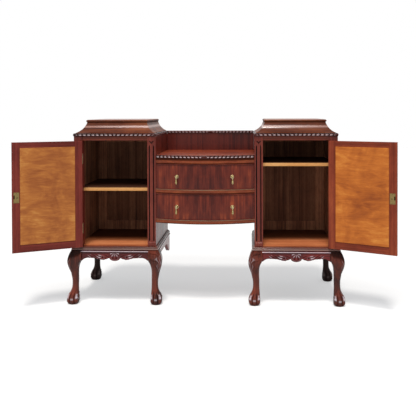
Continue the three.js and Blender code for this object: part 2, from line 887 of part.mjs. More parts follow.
// Drawer sides, back and bottom, open at the top and closed in front by the drawer front
function drawerBox([low, high]) {
  const z = [low + seat, high - drawerBoxDrop];
  const half = drawerHalf - drawerSideGap;
  const front = drawerFace + railThickness + seat;
  const back = centreBackFront - drawerBackGap;
  return cut(
    bowBoard(half, front, back, z),
    bowBoard(half - drawerWall, -bow, back - drawerWall, [z[0] + drawerBottom, z[1] + overrun]),
  );
}

// Round plate of a pull with its stem and cross pin, in the pull's own frame facing -Y
function pullRose() {
  const profile = [
    ...roseShares.map(([reach, along]) => [reach * roseRadius, along * roseDepth]),
    [bossRadius, bossFoot], [stemRadius, bossDepth],
    [stemRadius, stemReach + stemRadius], [0, stemReach + stemRadius],
  ].map(([r, y]) => new THREE.Vector2(r, y));
  const turned = solid(new THREE.LatheGeometry(profile, roundSides).rotateX(Math.PI));
  const pin = new THREE.CylinderGeometry(pullPin, pullPin, pinLength, smallSides).rotateZ(Math.PI / 2);
  return join(turned, solid(pin.translate(0, -stemReach, 0)));
}

// Bud that hangs from the cross pin on two ears, drawn about the pin's axis
function pullDrop() {
  const earInner = stemRadius + earGap;
  const earX = [[-earInner - earThickness, -earInner], [earInner, earInner + earThickness]];
  const round = (radius, x) => {
    const disc = new THREE.CylinderGeometry(radius, radius, x[1] - x[0], smallSides).rotateZ(Math.PI / 2);
    return solid(disc.translate((x[0] + x[1]) / 2, 0, 0));
  };
  const ears = earX.map((x) => cut(
    join(round(earOuter, x), block(x, [-earOuter / 2, earOuter / 2], [-earDrop - bridgeHeight, 0])),
    round(pullPin + pullPlay, [x[0] - overrun, x[1] + overrun]),
  ));
  const bridge = block(
    [earX[0][0], earX[1][1]],
    [-earOuter / 2, earOuter / 2],
    [-earDrop - bridgeHeight, -earDrop],
  );
  const top = -earDrop - bridgeHeight / 2;
  const profile = [
    new THREE.Vector2(0, top),
    ...budShares.map(([along, reach]) => new THREE.Vector2(reach * budRadius, top - along * budLength)),
    new THREE.Vector2(0, top - budLength),
  ];
  const bud = solid(new THREE.LatheGeometry(profile, roundSides).rotateX(Math.PI / 2));
  return join(...ears, bridge, bud);
}

const model = new THREE.Group();

// Adds a named piece to a group
function add(group, name, manifold, material) {
  const mesh = new THREE.Mesh(skin(manifold), material());
  mesh.name = name;
  group.add(mesh);
}

// One pedestal; side is 1 for the right one and -1 for its mirror image
function addPedestal(name, side, shelfLevel, doorAngle) {
  const put = (group, piece, manifold, material) => {
    const placed = side > 0 ? manifold : manifold.mirror([1, 0, 0]);
    add(group, `${name}_${piece}`, placed, material);
  };
  put(model, 'cap', cap(), mahogany);
  put(model, 'frieze_rail', friezeRail(), mahogany);
  put(model, 'post_inner', postInner(), mahogany);
  put(model, 'post_outer', postOuter(), mahogany);
  put(model, 'side_inner', sideBoard(carcassInner, sideInnerFace, sideInnerFace, shelfLevel), mahogany);
  put(model, 'side_outer', sideBoard(sideOuterFace, carcassOuter, sideOuterFace, shelfLevel), mahogany);
  put(model, 'back_panel', backPanel(), interior);
  put(model, 'base_board', baseBoard(), mahogany);
  put(model, 'shelf', shelf(shelfLevel), shelfWood);
  put(model, 'apron_front', apronFront(), carved);
  put(model, 'apron_outer', apronOuter(), carved);
  put(model, 'apron_inner', apronInner(), carved);
  put(model, 'leg_front_inner', leg(carcassInner, faceY, -1, -1), carved);
  put(model, 'leg_front_outer', leg(carcassOuter, faceY, 1, -1), carved);
  put(model, 'leg_back_outer', leg(carcassOuter, depth, 1, 1), carved);
  hingeHeights.forEach((z, i) => {
    put(model, `hinge_${['lower', 'upper'][i]}`, hingeLeaf(z), brass);
  });

  // The door turns about its hinge pins, so its group stands there
  const door = new THREE.Group();
  door.position.set(side * hingeX, hingeY, 0);
  door.rotation.z = side * doorAngle;
  const closed = new THREE.Group();
  closed.position.set(-side * hingeX, -hingeY, 0);
  door.add(closed);
  model.add(door);
  put(closed, 'door_frame', doorFrame(), mahogany);
  put(closed, 'door_panel', doorPanel(), satinwood);
  put(closed, 'door_lock', doorLock(), brass);
  put(closed, 'door_bolt', lockBolt(), brass);
}

function addCentre() {
  add(model, 'centre_top', centreTop(), mahogany);
  add(model, 'splashback', splashback(), mahogany);
  add(model, 'centre_top_rail', centreTopRail(), mahogany);
  add(model, 'centre_mid_rail', railBoard(midRailTop, midRailHeight), mahogany);
  add(model, 'centre_bottom_rail', railBoard(bottomRailTop, bottomRailHeight), mahogany);
  add(model, 'centre_back', centreBack(), interior);
  for (const [level, opening] of Object.entries(drawerOpenings)) {
    add(model, `${level}_drawer_front`, drawerFront(opening), flame);
    add(model, `${level}_drawer_box`, drawerBox(opening), interior);
    for (const [hand, side] of [['left', -1], ['right', 1]]) {
      // Each pull stands square to the bowed face
      const pull = new THREE.Group();
      const x = side * pullX;
      pull.position.set(x, bowY(x) + drawerFace - seat, (opening[0] + opening[1]) / 2);
      pull.rotation.z = Math.asin(x / bowRadius);
      model.add(pull);
      add(pull, `${level}_${hand}_rose`, pullRose(), brass);
      const hanging = new THREE.Group();
      hanging.position.set(0, -stemReach, 0);
      pull.add(hanging);
      add(hanging, `${level}_${hand}_drop`, pullDrop(), brass);
    }
  }
}

addPedestal('left', -1, leftShelfTop, leftDoorAngle);
addPedestal('right', 1, rightShelfTop, rightDoorAngle);
addCentre();

// The origin is the middle of the footprint, on the floor
const bounds = new THREE.Box3().setFromObject(model);
const centre = bounds.getCenter(new THREE.Vector3());
model.position.set(-centre.x, -centre.y, -bounds.min.z);

export default model;
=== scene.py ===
import json
import math

import bmesh
import bpy
import numpy as np
from mathutils import Matrix, Vector

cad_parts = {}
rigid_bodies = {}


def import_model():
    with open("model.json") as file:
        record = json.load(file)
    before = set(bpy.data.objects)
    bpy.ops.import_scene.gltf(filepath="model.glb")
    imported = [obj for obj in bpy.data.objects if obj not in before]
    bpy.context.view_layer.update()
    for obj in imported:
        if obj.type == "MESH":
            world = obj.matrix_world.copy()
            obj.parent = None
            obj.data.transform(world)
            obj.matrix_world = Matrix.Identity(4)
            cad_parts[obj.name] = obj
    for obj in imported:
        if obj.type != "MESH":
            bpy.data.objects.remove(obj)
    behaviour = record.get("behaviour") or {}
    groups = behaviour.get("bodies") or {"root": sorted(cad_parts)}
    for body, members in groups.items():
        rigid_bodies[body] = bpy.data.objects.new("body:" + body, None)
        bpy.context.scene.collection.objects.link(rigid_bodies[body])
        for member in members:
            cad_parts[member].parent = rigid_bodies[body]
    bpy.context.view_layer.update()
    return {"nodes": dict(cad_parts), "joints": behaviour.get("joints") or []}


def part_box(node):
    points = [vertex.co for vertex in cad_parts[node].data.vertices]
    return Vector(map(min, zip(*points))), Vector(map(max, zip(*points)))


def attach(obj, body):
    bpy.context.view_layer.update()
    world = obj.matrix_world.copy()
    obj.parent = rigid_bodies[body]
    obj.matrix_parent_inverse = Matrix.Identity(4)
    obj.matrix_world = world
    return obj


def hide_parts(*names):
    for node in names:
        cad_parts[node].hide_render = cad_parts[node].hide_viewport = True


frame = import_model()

# Shapes are drawn in millimetres from the carcass's own origin: x from the middle, y back from the front edge of
# the tops, z up from the floor. make_piece turns them into metres of the frame. Materials read metres.
MM = 0.001
SIDES = (("left", -1), ("right", 1))
# Marks paint light and shade into a surface: HOLLOW is painted shade, CREST a painted highlight
HOLLOW, PLAIN, CREST = -1.0, 0.0, 1.0  # marks of a point
SEAT = 0.3  # gap between pieces that rest on or against each other
TOPS = np.array([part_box("left_cap"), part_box("right_cap")]) / MM
ORIGIN = np.array([(TOPS[0, 0, 0] + TOPS[1, 1, 0]) / 2, TOPS[0, 0, 1], 0])


# Sizes read from the frame
def low(node):
    return np.array(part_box(node)[0]) / MM - ORIGIN


def high(node):
    return np.array(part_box(node)[1]) / MM - ORIGIN


PAD_PROUD = 3  # how far the pad at the foot of a post stands out
DEPTH = high("left_cap")[1]
CARCASS_IN, CARCASS_OUT = low("right_side_inner")[0], high("right_side_outer")[0]
GADROON_LOW = low("right_cap")[2]
LEG_TOP = low("right_base_board")[2]
FACE = low("right_post_inner")[1] + PAD_PROUD
SHELF_UNDER, SHELF_TOP = low("centre_top")[2], high("centre_top")[2]
CENTRE_HALF = (high("centre_top")[0] - low("centre_top")[0]) / 2


# ---------------------------------------------------------------- camera
IMAGE_SIDE = 416  # pixels
SENSOR = 36.0
EYE = Vector((0.2750, -3.4048, 1.1761))
FOCAL_PIXELS = 533.67
IMAGE_MIDDLE = (232.63, 117.62)
YAW, PITCH, ROLL = 0.0320, 0.0115, -0.0027


def new_object(name, data):
    made = bpy.data.objects.new(name, data)
    bpy.context.scene.collection.objects.link(made)
    return made


def make_camera():
    ahead = Vector((-math.sin(YAW), math.cos(YAW), 0))
    right = Vector((math.cos(YAW), math.sin(YAW), 0))
    up = Vector((0, 0, 1))
    forward = math.cos(PITCH) * ahead - math.sin(PITCH) * up
    upward = math.sin(PITCH) * ahead + math.cos(PITCH) * up
    side = math.cos(ROLL) * right + math.sin(ROLL) * upward
    top = math.cos(ROLL) * upward - math.sin(ROLL) * right
    data = bpy.data.cameras.new("camera")
    data.sensor_width = SENSOR
    data.lens = FOCAL_PIXELS / IMAGE_SIDE * SENSOR
    data.shift_x = (IMAGE_SIDE / 2 - IMAGE_MIDDLE[0]) / IMAGE_SIDE
    data.shift_y = (IMAGE_MIDDLE[1] - IMAGE_SIDE / 2) / IMAGE_SIDE
    camera = new_object("camera", data)
    camera.matrix_world = Matrix.Translation(EYE) @ Matrix((side, top, -forward)).transposed().to_4x4()
    bpy.context.scene.camera = camera


make_camera()


# ---------------------------------------------------------------- mesh helpers
def smoothstep(value, start, end):
    t = np.clip((value - start) / (end - start), 0, 1)
    return t * t * (3 - 2 * t)


def bell(value, middle, width):
    return np.exp(-(((value - middle) / width) ** 2))


def circle(count):
    """Angles of points spread evenly round a circle."""
    return np.linspace(0, 2 * math.pi, count + 1)[:-1]


def turned(angle, at=0.0):
    """How far an angle lies from a direction, from 0 to pi."""
    return np.abs(np.arctan2(np.sin(angle - at), np.cos(angle - at)))


def stack(*parts):
    """Points from their coordinates, any of which may be one number for all of them."""
    return np.column_stack(np.broadcast_arrays(*parts))


def curve(value, table):
    """Smooth curve through rows of (place, height), with the slopes of its neighbours."""
    places, heights = np.array(table, float).T
    slopes = np.gradient(heights, places)
    i = np.clip(np.searchsorted(places, value) - 1, 0, len(places) - 2)
    span = places[i + 1] - places[i]
    t = np.clip((value - places[i]) / span, 0, 1)
    return (
        (2 * t**3 - 3 * t**2 + 1) * heights[i] + (t**3 - 2 * t**2 + t) * span * slopes[i]
        + (3 * t**2 - 2 * t**3) * heights[i + 1] + (t**3 - t**2) * span * slopes[i + 1]
    )


class Shape:
    """Mesh under construction: points, faces and the material number of each face.

    Each point also has a mark that its material reads, from HOLLOW over PLAIN to CREST: painted shade, none, painted
    highlight.
    """

    def __init__(self):
        self.points, self.marks, self.faces, self.kinds = [], [], [], []

    def grid(self, rows, kind=0, marks=None, tube=True, ring=False):
        """Quads through rows of points. A tube closes each row; it is capped unless its rows run in a ring."""
        rows = np.asarray(rows, float)
        count, width = rows.shape[:2]
        start = len(self.points)
        self.points += map(tuple, rows.reshape(-1, 3))
        self.marks += [PLAIN] * (count * width) if marks is None else list(np.ravel(marks))
        for i in range(count if ring else count - 1):
            here, there = start + i * width, start + (i + 1) % count * width
            for j in range(width if tube else width - 1):
                k = (j + 1) % width
                self.faces.append([here + j, here + k, there + k, there + j])
        if tube and not ring:
            self.faces.append([start + j for j in range(width)])
            self.faces.append([start + (count - 1) * width + j for j in reversed(range(width))])
        self.kinds += [kind] * (len(self.faces) - len(self.kinds))
        return self

    def board(self, lows, highs, kind=0, edge=0.8):
        """Board between two corners with its edges taken off."""
        (x0, y0, z0), (x1, y1, z1) = lows, highs
        edge = min(edge, (x1 - x0) / 3, (y1 - y0) / 3, (z1 - z0) / 3)

        def ring(near, z):
            far = near + edge
            return [
                (x0 + far, y0 + near, z), (x1 - far, y0 + near, z), (x1 - near, y0 + far, z), (x1 - near, y1 - far, z),
                (x1 - far, y1 - near, z), (x0 + far, y1 - near, z), (x0 + near, y1 - far, z), (x0 + near, y0 + far, z),
            ]

        return self.grid([ring(edge, z0), ring(0, z0 + edge), ring(0, z1 - edge), ring(edge, z1)], kind)

    def lathe(self, profile, sides, kind=0, swell=None):
        """Turned form about Y: profile of (radius, y); swell(angle, step) scales the radius."""
        angle = circle(sides)
        rows = []
        for step, (radius, y) in enumerate(profile):
            reach = radius * (swell(angle, step) if swell else 1)
            rows.append(stack(reach * np.cos(angle), y, reach * np.sin(angle)))
        return self.grid(rows, kind)

    def put(self, axes=(0, 1, 2), signs=(1, 1, 1), at=(0, 0, 0)):
        """The same shape with its coordinates taken in another order, mirrored and moved."""
        self.points = list(map(tuple, np.array(self.points)[:, list(axes)] * signs + np.array(at)))
        return self

    def add(self, other):
        start = len(self.points)
        self.points += other.points
        self.marks += other.marks
        self.faces += [[start + i for i in face] for face in other.faces]
        self.kinds += other.kinds
        return self


def make_piece(name, shape, body, nodes, materials, smooth, side=1, place=None):
    """Object from a shape whose kinds number its materials, in place of CAD nodes.

    Side -1 mirrors the shape to the left, and side 0 says that it isn't drawn from the carcass's origin.
    Where the points lay before `place` moved them stays with them as "own", so that the grain of a swung
    piece follows the piece.
    """
    own = np.array(shape.points)
    own = (own * (side, 1, 1) + ORIGIN if side else own) * MM
    points = own if place is None else own @ np.array(place.to_3x3()).T + np.array(place.translation)
    mesh = bpy.data.meshes.new(name)
    mesh.from_pydata(list(map(tuple, points)), [], shape.faces)
    mesh.polygons.foreach_set("material_index", shape.kinds)
    mesh.attributes.new("own", "FLOAT_VECTOR", "POINT").data.foreach_set("vector", own.ravel())
    mesh.attributes.new("mark", "FLOAT", "POINT").data.foreach_set("value", np.array(shape.marks, float))
    work = bmesh.new()
    work.from_mesh(mesh)
    bmesh.ops.remove_doubles(work, verts=work.verts, dist=1e-7)
    bmesh.ops.recalc_face_normals(work, faces=work.faces)
    limit = math.radians(smooth)
    for face in work.faces:
        face.smooth = True
    for edge in work.edges:
        if len(edge.link_faces) == 2:
            edge.smooth = edge.calc_face_angle(0.0) < limit
    work.to_mesh(mesh)
    work.free()
    piece = new_object(name, mesh)
    for material in materials:
        mesh.materials.append(material)
    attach(piece, body)
    if nodes:
        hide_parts(*nodes)


# ---------------------------------------------------------------- materials
def colour(shade, share=1.0):
    """Linear colour of a share of a display colour, whose red, green and blue go from 0 to 255."""
    def linear(v):
        v /= 255
        return v / 12.92 if v <= 0.04045 else ((v + 0.055) / 1.055) ** 2.4
    return tuple(share * linear(v) for v in shade) + (1,)


def along(axis, scale):
    """Scales that draw a pattern out along one axis."""
    return [scale if name == axis else 1 for name in "XYZ"]


class Tree:
    """Short hand for the nodes of a material or a world."""

    def __init__(self, owner, own=False):
        owner.use_nodes = True
        self.owner, self.own = owner, own
        self.nodes, self.links = owner.node_tree.nodes, owner.node_tree.links

    def fill(self, inputs, values):
        """Links each input to its socket, or gives it its value."""
        for key, value in values.items():
            if isinstance(value, bpy.types.NodeSocket):
                self.links.new(value, inputs[key])
            else:
                inputs[key].default_value = value

    def node(self, kind, values=None, **settings):
        made = self.nodes.new(kind)
        for key, value in settings.items():
            setattr(made, key, value)
        self.fill(made.inputs, values or {})
        return made

    def math(self, operation, first, second=0.0):
        return self.node("ShaderNodeMath", {0: first, 1: second}, operation=operation).outputs[0]

    def total(self, *terms):
        """Sum of terms of (value, weight)."""
        parts = [self.math("MULTIPLY", value, weight) for value, weight in terms]
        result = parts[0]
        for part in parts[1:]:
            result = self.math("ADD", result, part)
        return result

    def off(self, value, at):
        return self.math("ABSOLUTE", self.math("SUBTRACT", value, at))

    def mix(self, share, first, second):
        return self.node("ShaderNodeMix", {0: share, 6: first, 7: second}, data_type="RGBA").outputs[2]

    def ramp(self, value, *stops):
        """Colour ramp with stops of (place, display colour)."""
        made = self.node("ShaderNodeValToRGB", {0: value})
        elements = made.color_ramp.elements
        while len(elements) < len(stops):
            elements.new(0.5)
        for element, (at, shade) in zip(elements, stops):
            element.position, element.color = at, colour(shade)
        return made.outputs[0]

    def spread(self, value, low_in, high_in, low_out, high_out):
        values = {0: value, 1: low_in, 2: high_in, 3: low_out, 4: high_out}
        return self.node("ShaderNodeMapRange", values).outputs[0]

    def where(self):
        """Coordinates of the pattern: those of the frame, or the place before the piece was swung."""
        if self.own:
            return self.node("ShaderNodeAttribute", attribute_name="own").outputs["Vector"]
        return self.node("ShaderNodeTexCoord").outputs["Object"]

    def place(self, scale=(1, 1, 1), turn=(0, 0, 0), source=None):
        source = self.where() if source is None else source
        return self.node("ShaderNodeMapping", {0: source, 2: turn, 3: scale}).outputs[0]

    def noise(self, vector, scale, detail, rough, distortion=0.0):
        values = {"Vector": vector, "Scale": scale, "Detail": detail, "Roughness": rough, "Distortion": distortion}
        return self.node("ShaderNodeTexNoise", values).outputs[0]

    def edges(self):
        return self.node("ShaderNodeNewGeometry").outputs["Pointiness"]

    def seen(self):
        """1 for a ray of the camera, off a glossy face or through glass."""
        paths = self.node("ShaderNodeLightPath").outputs
        others = self.math("MAXIMUM", paths["Is Glossy Ray"], paths["Is Transmission Ray"])
        return self.math("MAXIMUM", paths["Is Camera Ray"], others)

    def set(self, **values):
        values = {key.replace("_", " "): value for key, value in values.items()}
        self.fill(self.nodes["Principled BSDF"].inputs, values)

    def bump(self, height, strength, distance):
        values = {"Height": height, "Strength": strength, "Distance": distance}
        self.set(Normal=self.node("ShaderNodeBump", values).outputs[0])


FIBRE = 0.07  # scale of a pattern along the grain
# Depths behind the front over which painted shade darkens the floors inside, where no daylight gets to them
SHADE_FROM, SHADE_TO = 30 * MM, 110 * MM
PULL_X = 168 * MM
PANEL_MIDDLE = 554 * MM
PANEL_HEIGHT = 680 * MM


def wood(name, dark, middle, light, grain="Z", rough=(0.3, 0.45), coat=0.3, pores=0.5, streaks=1.0, polish=0.06,
         crest=None, own=False, shaded_behind=False):
    """Straight-grained polished or plain wood whose fibres run along one axis.

    Marked hollows are painted shade, near black. Marked crests get a painted highlight in the `crest` colour and take
    more polish.
    Wood that is shaded behind is darkened with painted shade where no daylight gets to it, between two depths behind
    the front.
    """
    tree = Tree(bpy.data.materials.new(name), own)
    broad = tree.noise(tree.place(along(grain, FIBRE)), 9, 4, 0.6, 1.4)
    lines = tree.noise(tree.place(along(grain, FIBRE**2)), 120, 4, 0.65, 0.3)
    pore = tree.noise(tree.place(along(grain, 0.6 * FIBRE)), 900, 2, 0.5)
    patch = tree.noise(tree.place(), 5, 3, 0.6)
    tone = tree.total((broad, 0.55), (lines, 0.45 * streaks), (tree.math("SUBTRACT", patch, 0.5), 0.3))
    shade = tree.ramp(tone, (0.34, dark), (0.5, middle), (0.66, light))
    pits = tree.spread(pore, 0.36, 0.46, 1.0, 0.0)
    shade = tree.mix(tree.math("MULTIPLY", pits, pores), shade, colour(dark, 0.35))
    # Painted shade: concave creases are darkened
    shade = tree.mix(tree.spread(tree.edges(), 0.4, 0.485, 0.6, 0.0), shade, colour(dark, 0.25))
    mark = tree.node("ShaderNodeAttribute", attribute_name="mark").outputs["Fac"]
    # Painted shade in marked hollows and painted highlights on marked crests
    black = colour(dark, 0.12)
    shade = tree.mix(tree.spread(mark, HOLLOW, PLAIN, 0.9, 0.0), shade, black)
    if crest:
        shade = tree.mix(tree.spread(mark, 0.4, CREST, 0.0, 0.8), shade, colour(crest))
        coat = tree.spread(mark, HOLLOW, CREST, -coat, 3 * coat)
    # Painted shade deeper inside, where the frieze keeps the light off
    if shaded_behind:
        depth = tree.node("ShaderNodeSeparateXYZ", {0: tree.where()}).outputs[1]
        depth = tree.math("ADD", depth, tree.math("MULTIPLY", patch, 40 * MM))
        shade = tree.mix(tree.spread(depth, SHADE_FROM, SHADE_TO, 0.0, 0.88), shade, black)
    tree.set(Base_Color=shade, Roughness=tree.spread(tree.math("ADD", patch, pore), 0.7, 1.3, *rough),
             Coat_Weight=coat, Coat_Roughness=0.18, Specular_IOR_Level=polish)
    tree.bump(tree.total((lines, 0.6), (pits, -0.8)), 0.25, 0.2 * MM)
    return tree.owner


def folded_place(tree, fold):
    """Coordinates mirrored about the middle of the whole or of a panel, and the distance from that middle."""
    x, y, z = tree.node("ShaderNodeSeparateXYZ", {0: tree.where()}).outputs
    across = tree.off(x, ORIGIN[0] * MM)
    if fold:
        across = tree.off(across, fold)
    return tree.node("ShaderNodeCombineXYZ", {0: across, 1: y, 2: z}).outputs[0], across, z


def flame_veneer(name, own=False, fold=0.0):
    """Crotch figure mirrored about the middle of the piece, paler round the pulls."""
    tree = Tree(bpy.data.materials.new(name), own)
    folded, across, height = folded_place(tree, fold)
    warp = tree.noise(tree.place((1, 1, 0.35), source=folded), 12, 4, 0.6, 1.6)
    stripes = tree.math("SINE", tree.total((across, 95), (height, 22), (warp, 8)))
    patch = tree.noise(tree.place((1, 1, 0.5), source=folded), 9, 3, 0.6, 0.8)
    streak = tree.noise(tree.place((1, 1, 0.04), source=folded), 90, 4, 0.65)
    fibre = tree.noise(tree.place((1, 1, 0.05), source=folded), 420, 3, 0.6)
    tone = tree.total((stripes, 0.03), (patch, 0.42), (streak, 0.43), (fibre, 0.15))
    tone = tree.math("ADD", tone, tree.spread(tree.off(across, PULL_X), 0.0, 80 * MM, 0.07, -0.02))
    shade = tree.ramp(tone, (0.32, (52, 17, 13)), (0.44, (88, 32, 24)), (0.56, (118, 48, 32)), (0.7, (172, 82, 46)))
    tree.set(Base_Color=shade, Roughness=tree.spread(patch, 0.3, 0.7, 0.3, 0.42), Specular_IOR_Level=0.06,
             Coat_Weight=0.25, Coat_Roughness=0.14)
    tree.bump(tree.math("ADD", fibre, streak), 0.15, 0.15 * MM)
    return tree.owner


def golden_veneer(name, deep, brown, gold, pale):
    """Golden veneer: a cloudy figure that turns round the middle of the panel, with fine lines across it."""
    tree = Tree(bpy.data.materials.new(name), own=True)
    _, across, height = folded_place(tree, PANEL_MIDDLE)
    cloud = tree.noise(tree.place((1, 1, 0.8)), 5, 4, 0.6, 1.4)
    swirl = tree.noise(tree.place((0.5, 1, 1.5), (0, 0.45, 0)), 9, 4, 0.62, 2.4)
    lines = tree.noise(tree.place((0.09, 1, 1), (0, 0.06, 0)), 90, 4, 0.65, 0.6)
    fibre = tree.noise(tree.place((0.06, 1, 1)), 420, 3, 0.6)
    out = tree.total((across, 4.2), (tree.off(height, PANEL_HEIGHT), 2.6))
    tone = tree.total((cloud, 0.36), (swirl, 0.34), (lines, 0.2), (fibre, 0.1))
    tone = tree.math("ADD", tone, tree.spread(out, 0.2, 1.3, -0.035, 0.05))
    shade = tree.ramp(tone, (0.36, deep), (0.46, brown), (0.55, gold), (0.66, pale))
    tree.set(Base_Color=shade, Roughness=tree.spread(cloud, 0.3, 0.7, 0.4, 0.55), Specular_IOR_Level=0.1,
             Coat_Weight=0.12, Coat_Roughness=0.2)
    tree.bump(tree.math("ADD", fibre, lines), 0.15, 0.15 * MM)
    return tree.owner


def aged_brass(name, tarnished, plain, rubbed, crest, metallic=0.8):
    """Brass with dark tarnish in the hollows and rubbed crests."""
    tree = Tree(bpy.data.materials.new(name))
    blotch = tree.noise(tree.place(), 160, 4, 0.6, 0.5)
    fine = tree.noise(tree.place(), 1400, 2, 0.5)
    shade = tree.ramp(blotch, (0.36, tarnished), (0.52, plain), (0.66, rubbed))
    edges = tree.edges()
    shade = tree.mix(tree.spread(edges, 0.38, 0.5, 0.8, 0.0), shade, colour((40, 29, 16)))
    shade = tree.mix(tree.spread(edges, 0.52, 0.62, 0.0, 0.6), shade, colour(crest))
    tree.set(Base_Color=shade, Metallic=metallic, Roughness=tree.spread(blotch, 0.3, 0.7, 0.32, 0.52))
    tree.bump(tree.math("ADD", fine, blotch), 0.2, 0.1 * MM)
    return tree.owner


def two_grains(name, *shades, **finish):
    return {grain: wood(f"{name}_{grain.lower()}", *shades, grain, **finish) for grain in "XZ"}


# Crest colours below are painted highlights on marked crests; each wood's darkest shade goes near black as painted
# shade in marked hollows
mahogany = two_grains("mahogany", (60, 19, 14), (98, 36, 26), (132, 56, 38))
post_wood = wood("post_mahogany", (72, 26, 20), (112, 46, 36), (140, 64, 48))
rail_wood = wood("rail_mahogany", (92, 38, 20), (132, 60, 32), (162, 84, 46), "X", (0.35, 0.5), crest=(222, 188, 146))
frieze_wood = wood("frieze_mahogany", (84, 32, 20), (122, 54, 36), (148, 72, 46), "X")
cap_wood = wood("cap_mahogany", (60, 24, 13), (106, 54, 32), (146, 84, 50), "X", (0.22, 0.3), polish=0.0,
                crest=(182, 136, 122))
top_wood = wood("serving_mahogany", (86, 30, 17), (124, 51, 30), (152, 73, 44), "X", (0.34, 0.44))
splash_wood = wood("splash_mahogany", (36, 10, 9), (70, 23, 19), (98, 36, 27), streaks=1.3)
# Painted shade: near-black wood on the floors and walls of the cut grooves and chevron in the posts
post_groove_shade = wood("dark_mahogany", (10, 4, 4), (20, 8, 7), (34, 14, 11), rough=(0.5, 0.7), coat=0.0)
# Painted shade: near-black patches stand for the keyholes and the lock's opening
keyhole_shade = wood("keyhole_dark", (10, 6, 4), (16, 10, 7), (24, 15, 10), rough=(0.6, 0.8), coat=0.0)
gadroon_wood = wood("gadroon_mahogany", (46, 15, 13), (92, 36, 30), (126, 60, 50), "X", (0.22, 0.3), 0.3, 0.3, 0.6, 0.1,
                    (250, 224, 226))
carved = wood("carved_mahogany", (78, 24, 24), (144, 50, 45), (172, 70, 60), "X", (0.24, 0.36), 0.3, 0.3, 0.7, 0.08,
              (214, 200, 208))
carved_leg = wood("carved_mahogany_leg", (50, 19, 12), (112, 48, 33), (144, 70, 46), "Z", (0.22, 0.34), 0.3, 0.3, 0.7,
                  0.08, (218, 208, 216))
# Painted shade: a darker copy of the leg wood for the back legs, which stand in shade under the carcass
back_leg_in_shade = wood("carved_mahogany_back", (22, 9, 6), (48, 22, 16), (68, 34, 25), "Z", (0.3, 0.42), 0.15, 0.3, 0.7,
                       0.05, (104, 84, 80))
base_wood = wood("base_mahogany", (60, 24, 18), (104, 50, 38), (136, 78, 60), "X", crest=(172, 146, 136))
frame_finish = {"rough": (0.42, 0.56), "coat": 0.12, "pores": 0.35, "streaks": 0.8, "own": True}
frame_wood = {
    "left": two_grains("left_door_frame", (86, 32, 26), (122, 50, 42), (146, 66, 50), **frame_finish),
    "right": two_grains("right_door_frame", (100, 40, 26), (140, 62, 40), (172, 86, 50), **frame_finish),
}
inside = wood("inside_wood", (72, 42, 31), (130, 84, 62), (172, 118, 86), "Z", (0.55, 0.75), 0.0, 0.5, 1.2, 0.1)
back_wood = wood("back_wood", (84, 50, 37), (148, 96, 70), (190, 132, 98), "Z", (0.55, 0.75), 0.0, 0.5, 1.2, 0.1)
# The floor inside is darkened behind with painted shade
inside_floor = wood("floor_wood", (152, 82, 48), (188, 108, 66), (208, 134, 88), "X", (0.45, 0.6), 0.0, 0.4, 1.0, 0.1,
                    shaded_behind=True)
drawer_wood = wood("drawer_wood", (150, 84, 44), (186, 112, 64), (206, 136, 82), "Y", (0.5, 0.65), 0.0, 0.4, 1.0, 0.1)
# Painted shade: the shelves' tops, backs and ends take this dark copy; only the fronts show the pale shelf wood
shelf_face = wood("shelf_face", (34, 18, 13), (58, 34, 25), (84, 52, 38), "X", (0.55, 0.75), 0.0, 0.5, 1.2, 0.05)
shelf_wood = wood("shelf_wood", (176, 112, 58), (214, 150, 86), (232, 178, 116), "X", (0.5, 0.7), 0.0, 0.4, 1.0, 0.15)
flame = flame_veneer("flame_mahogany")
flame_door = flame_veneer("flame_mahogany_door", True, PANEL_MIDDLE)
golden = {
    "left": golden_veneer("golden_veneer_left", (138, 74, 36), (160, 92, 46), (182, 112, 54), (206, 142, 74)),
    "right": golden_veneer("golden_veneer_right", (150, 76, 32), (178, 96, 38), (200, 114, 46), (224, 146, 66)),
}
brass = aged_brass("aged_brass", (112, 96, 56), (170, 150, 98), (210, 196, 146), (236, 226, 190))
lock_brass = aged_brass("lock_brass", (66, 52, 26), (100, 80, 40), (126, 104, 56), (152, 130, 78), 0.5)


# ---------------------------------------------------------------- gadroon mouldings
LOBE_DEPTH = 6
LOBE_STEPS = 12
SECTION_STEPS = 10
SLANT = 0.6
CAP_LOBES = (18, 19, 18)
CENTRE_LOBES = 25
GADROON_HEIGHT = 18
GADROON_BACK, CORE = 40, 12  # insets of the moulding's back and of the board inside it
CORE_PLAY = 0.5
GADROON_UNDER, GADROON_OVER = 4, 6  # how far its lower and its upper edge draw in
ALONG = [np.linspace(0, 1, count * LOBE_STEPS + 1) for count in CAP_LOBES]


def lobe(run, pitch, t):
    """Depth under the crests and mark of a slanted lobe, at a run along the edge and a share t up its section."""
    swell = np.abs(np.sin(math.pi * (run / pitch + SLANT * (t - 0.5))))
    # Painted highlight: a glint on each lobe. Painted shade: in the grooves, along the top and darkest along the foot
    glint = smoothstep(swell, 0.36, 0.72) * bell(t, 0.4, 0.19)
    groove_shade = 1 - smoothstep(swell, 0.1, 0.45)
    top_and_foot_shade = 0.3 * smoothstep(t, 0.65, 0.85) + 0.85 * smoothstep(-t, -0.22, -0.04)
    return LOBE_DEPTH * (1 - swell**0.6), CREST * glint + HOLLOW * np.maximum(groove_shade * 0.35, top_and_foot_shade)


def gadroon_line(run, pitch, t, leaf_at):
    """Depth and mark along a gadroon, with a ribbed leaf over the corners or the middle, where leaf_at is small."""
    depth, mark = lobe(run, pitch, t)
    share = 1 - smoothstep(leaf_at, pitch * 0.45, pitch * 0.9)
    rib = np.abs(np.cos(leaf_at / pitch * 2.6 * math.pi))
    # Painted highlights between the leaf's ribs, painted shade in them
    leaf_mark = 0.55 * CREST * (1 - rib) + 0.4 * HOLLOW * rib
    return depth * (1 - share) + 1.2 * rib * share, mark * (1 - share) + leaf_mark * share


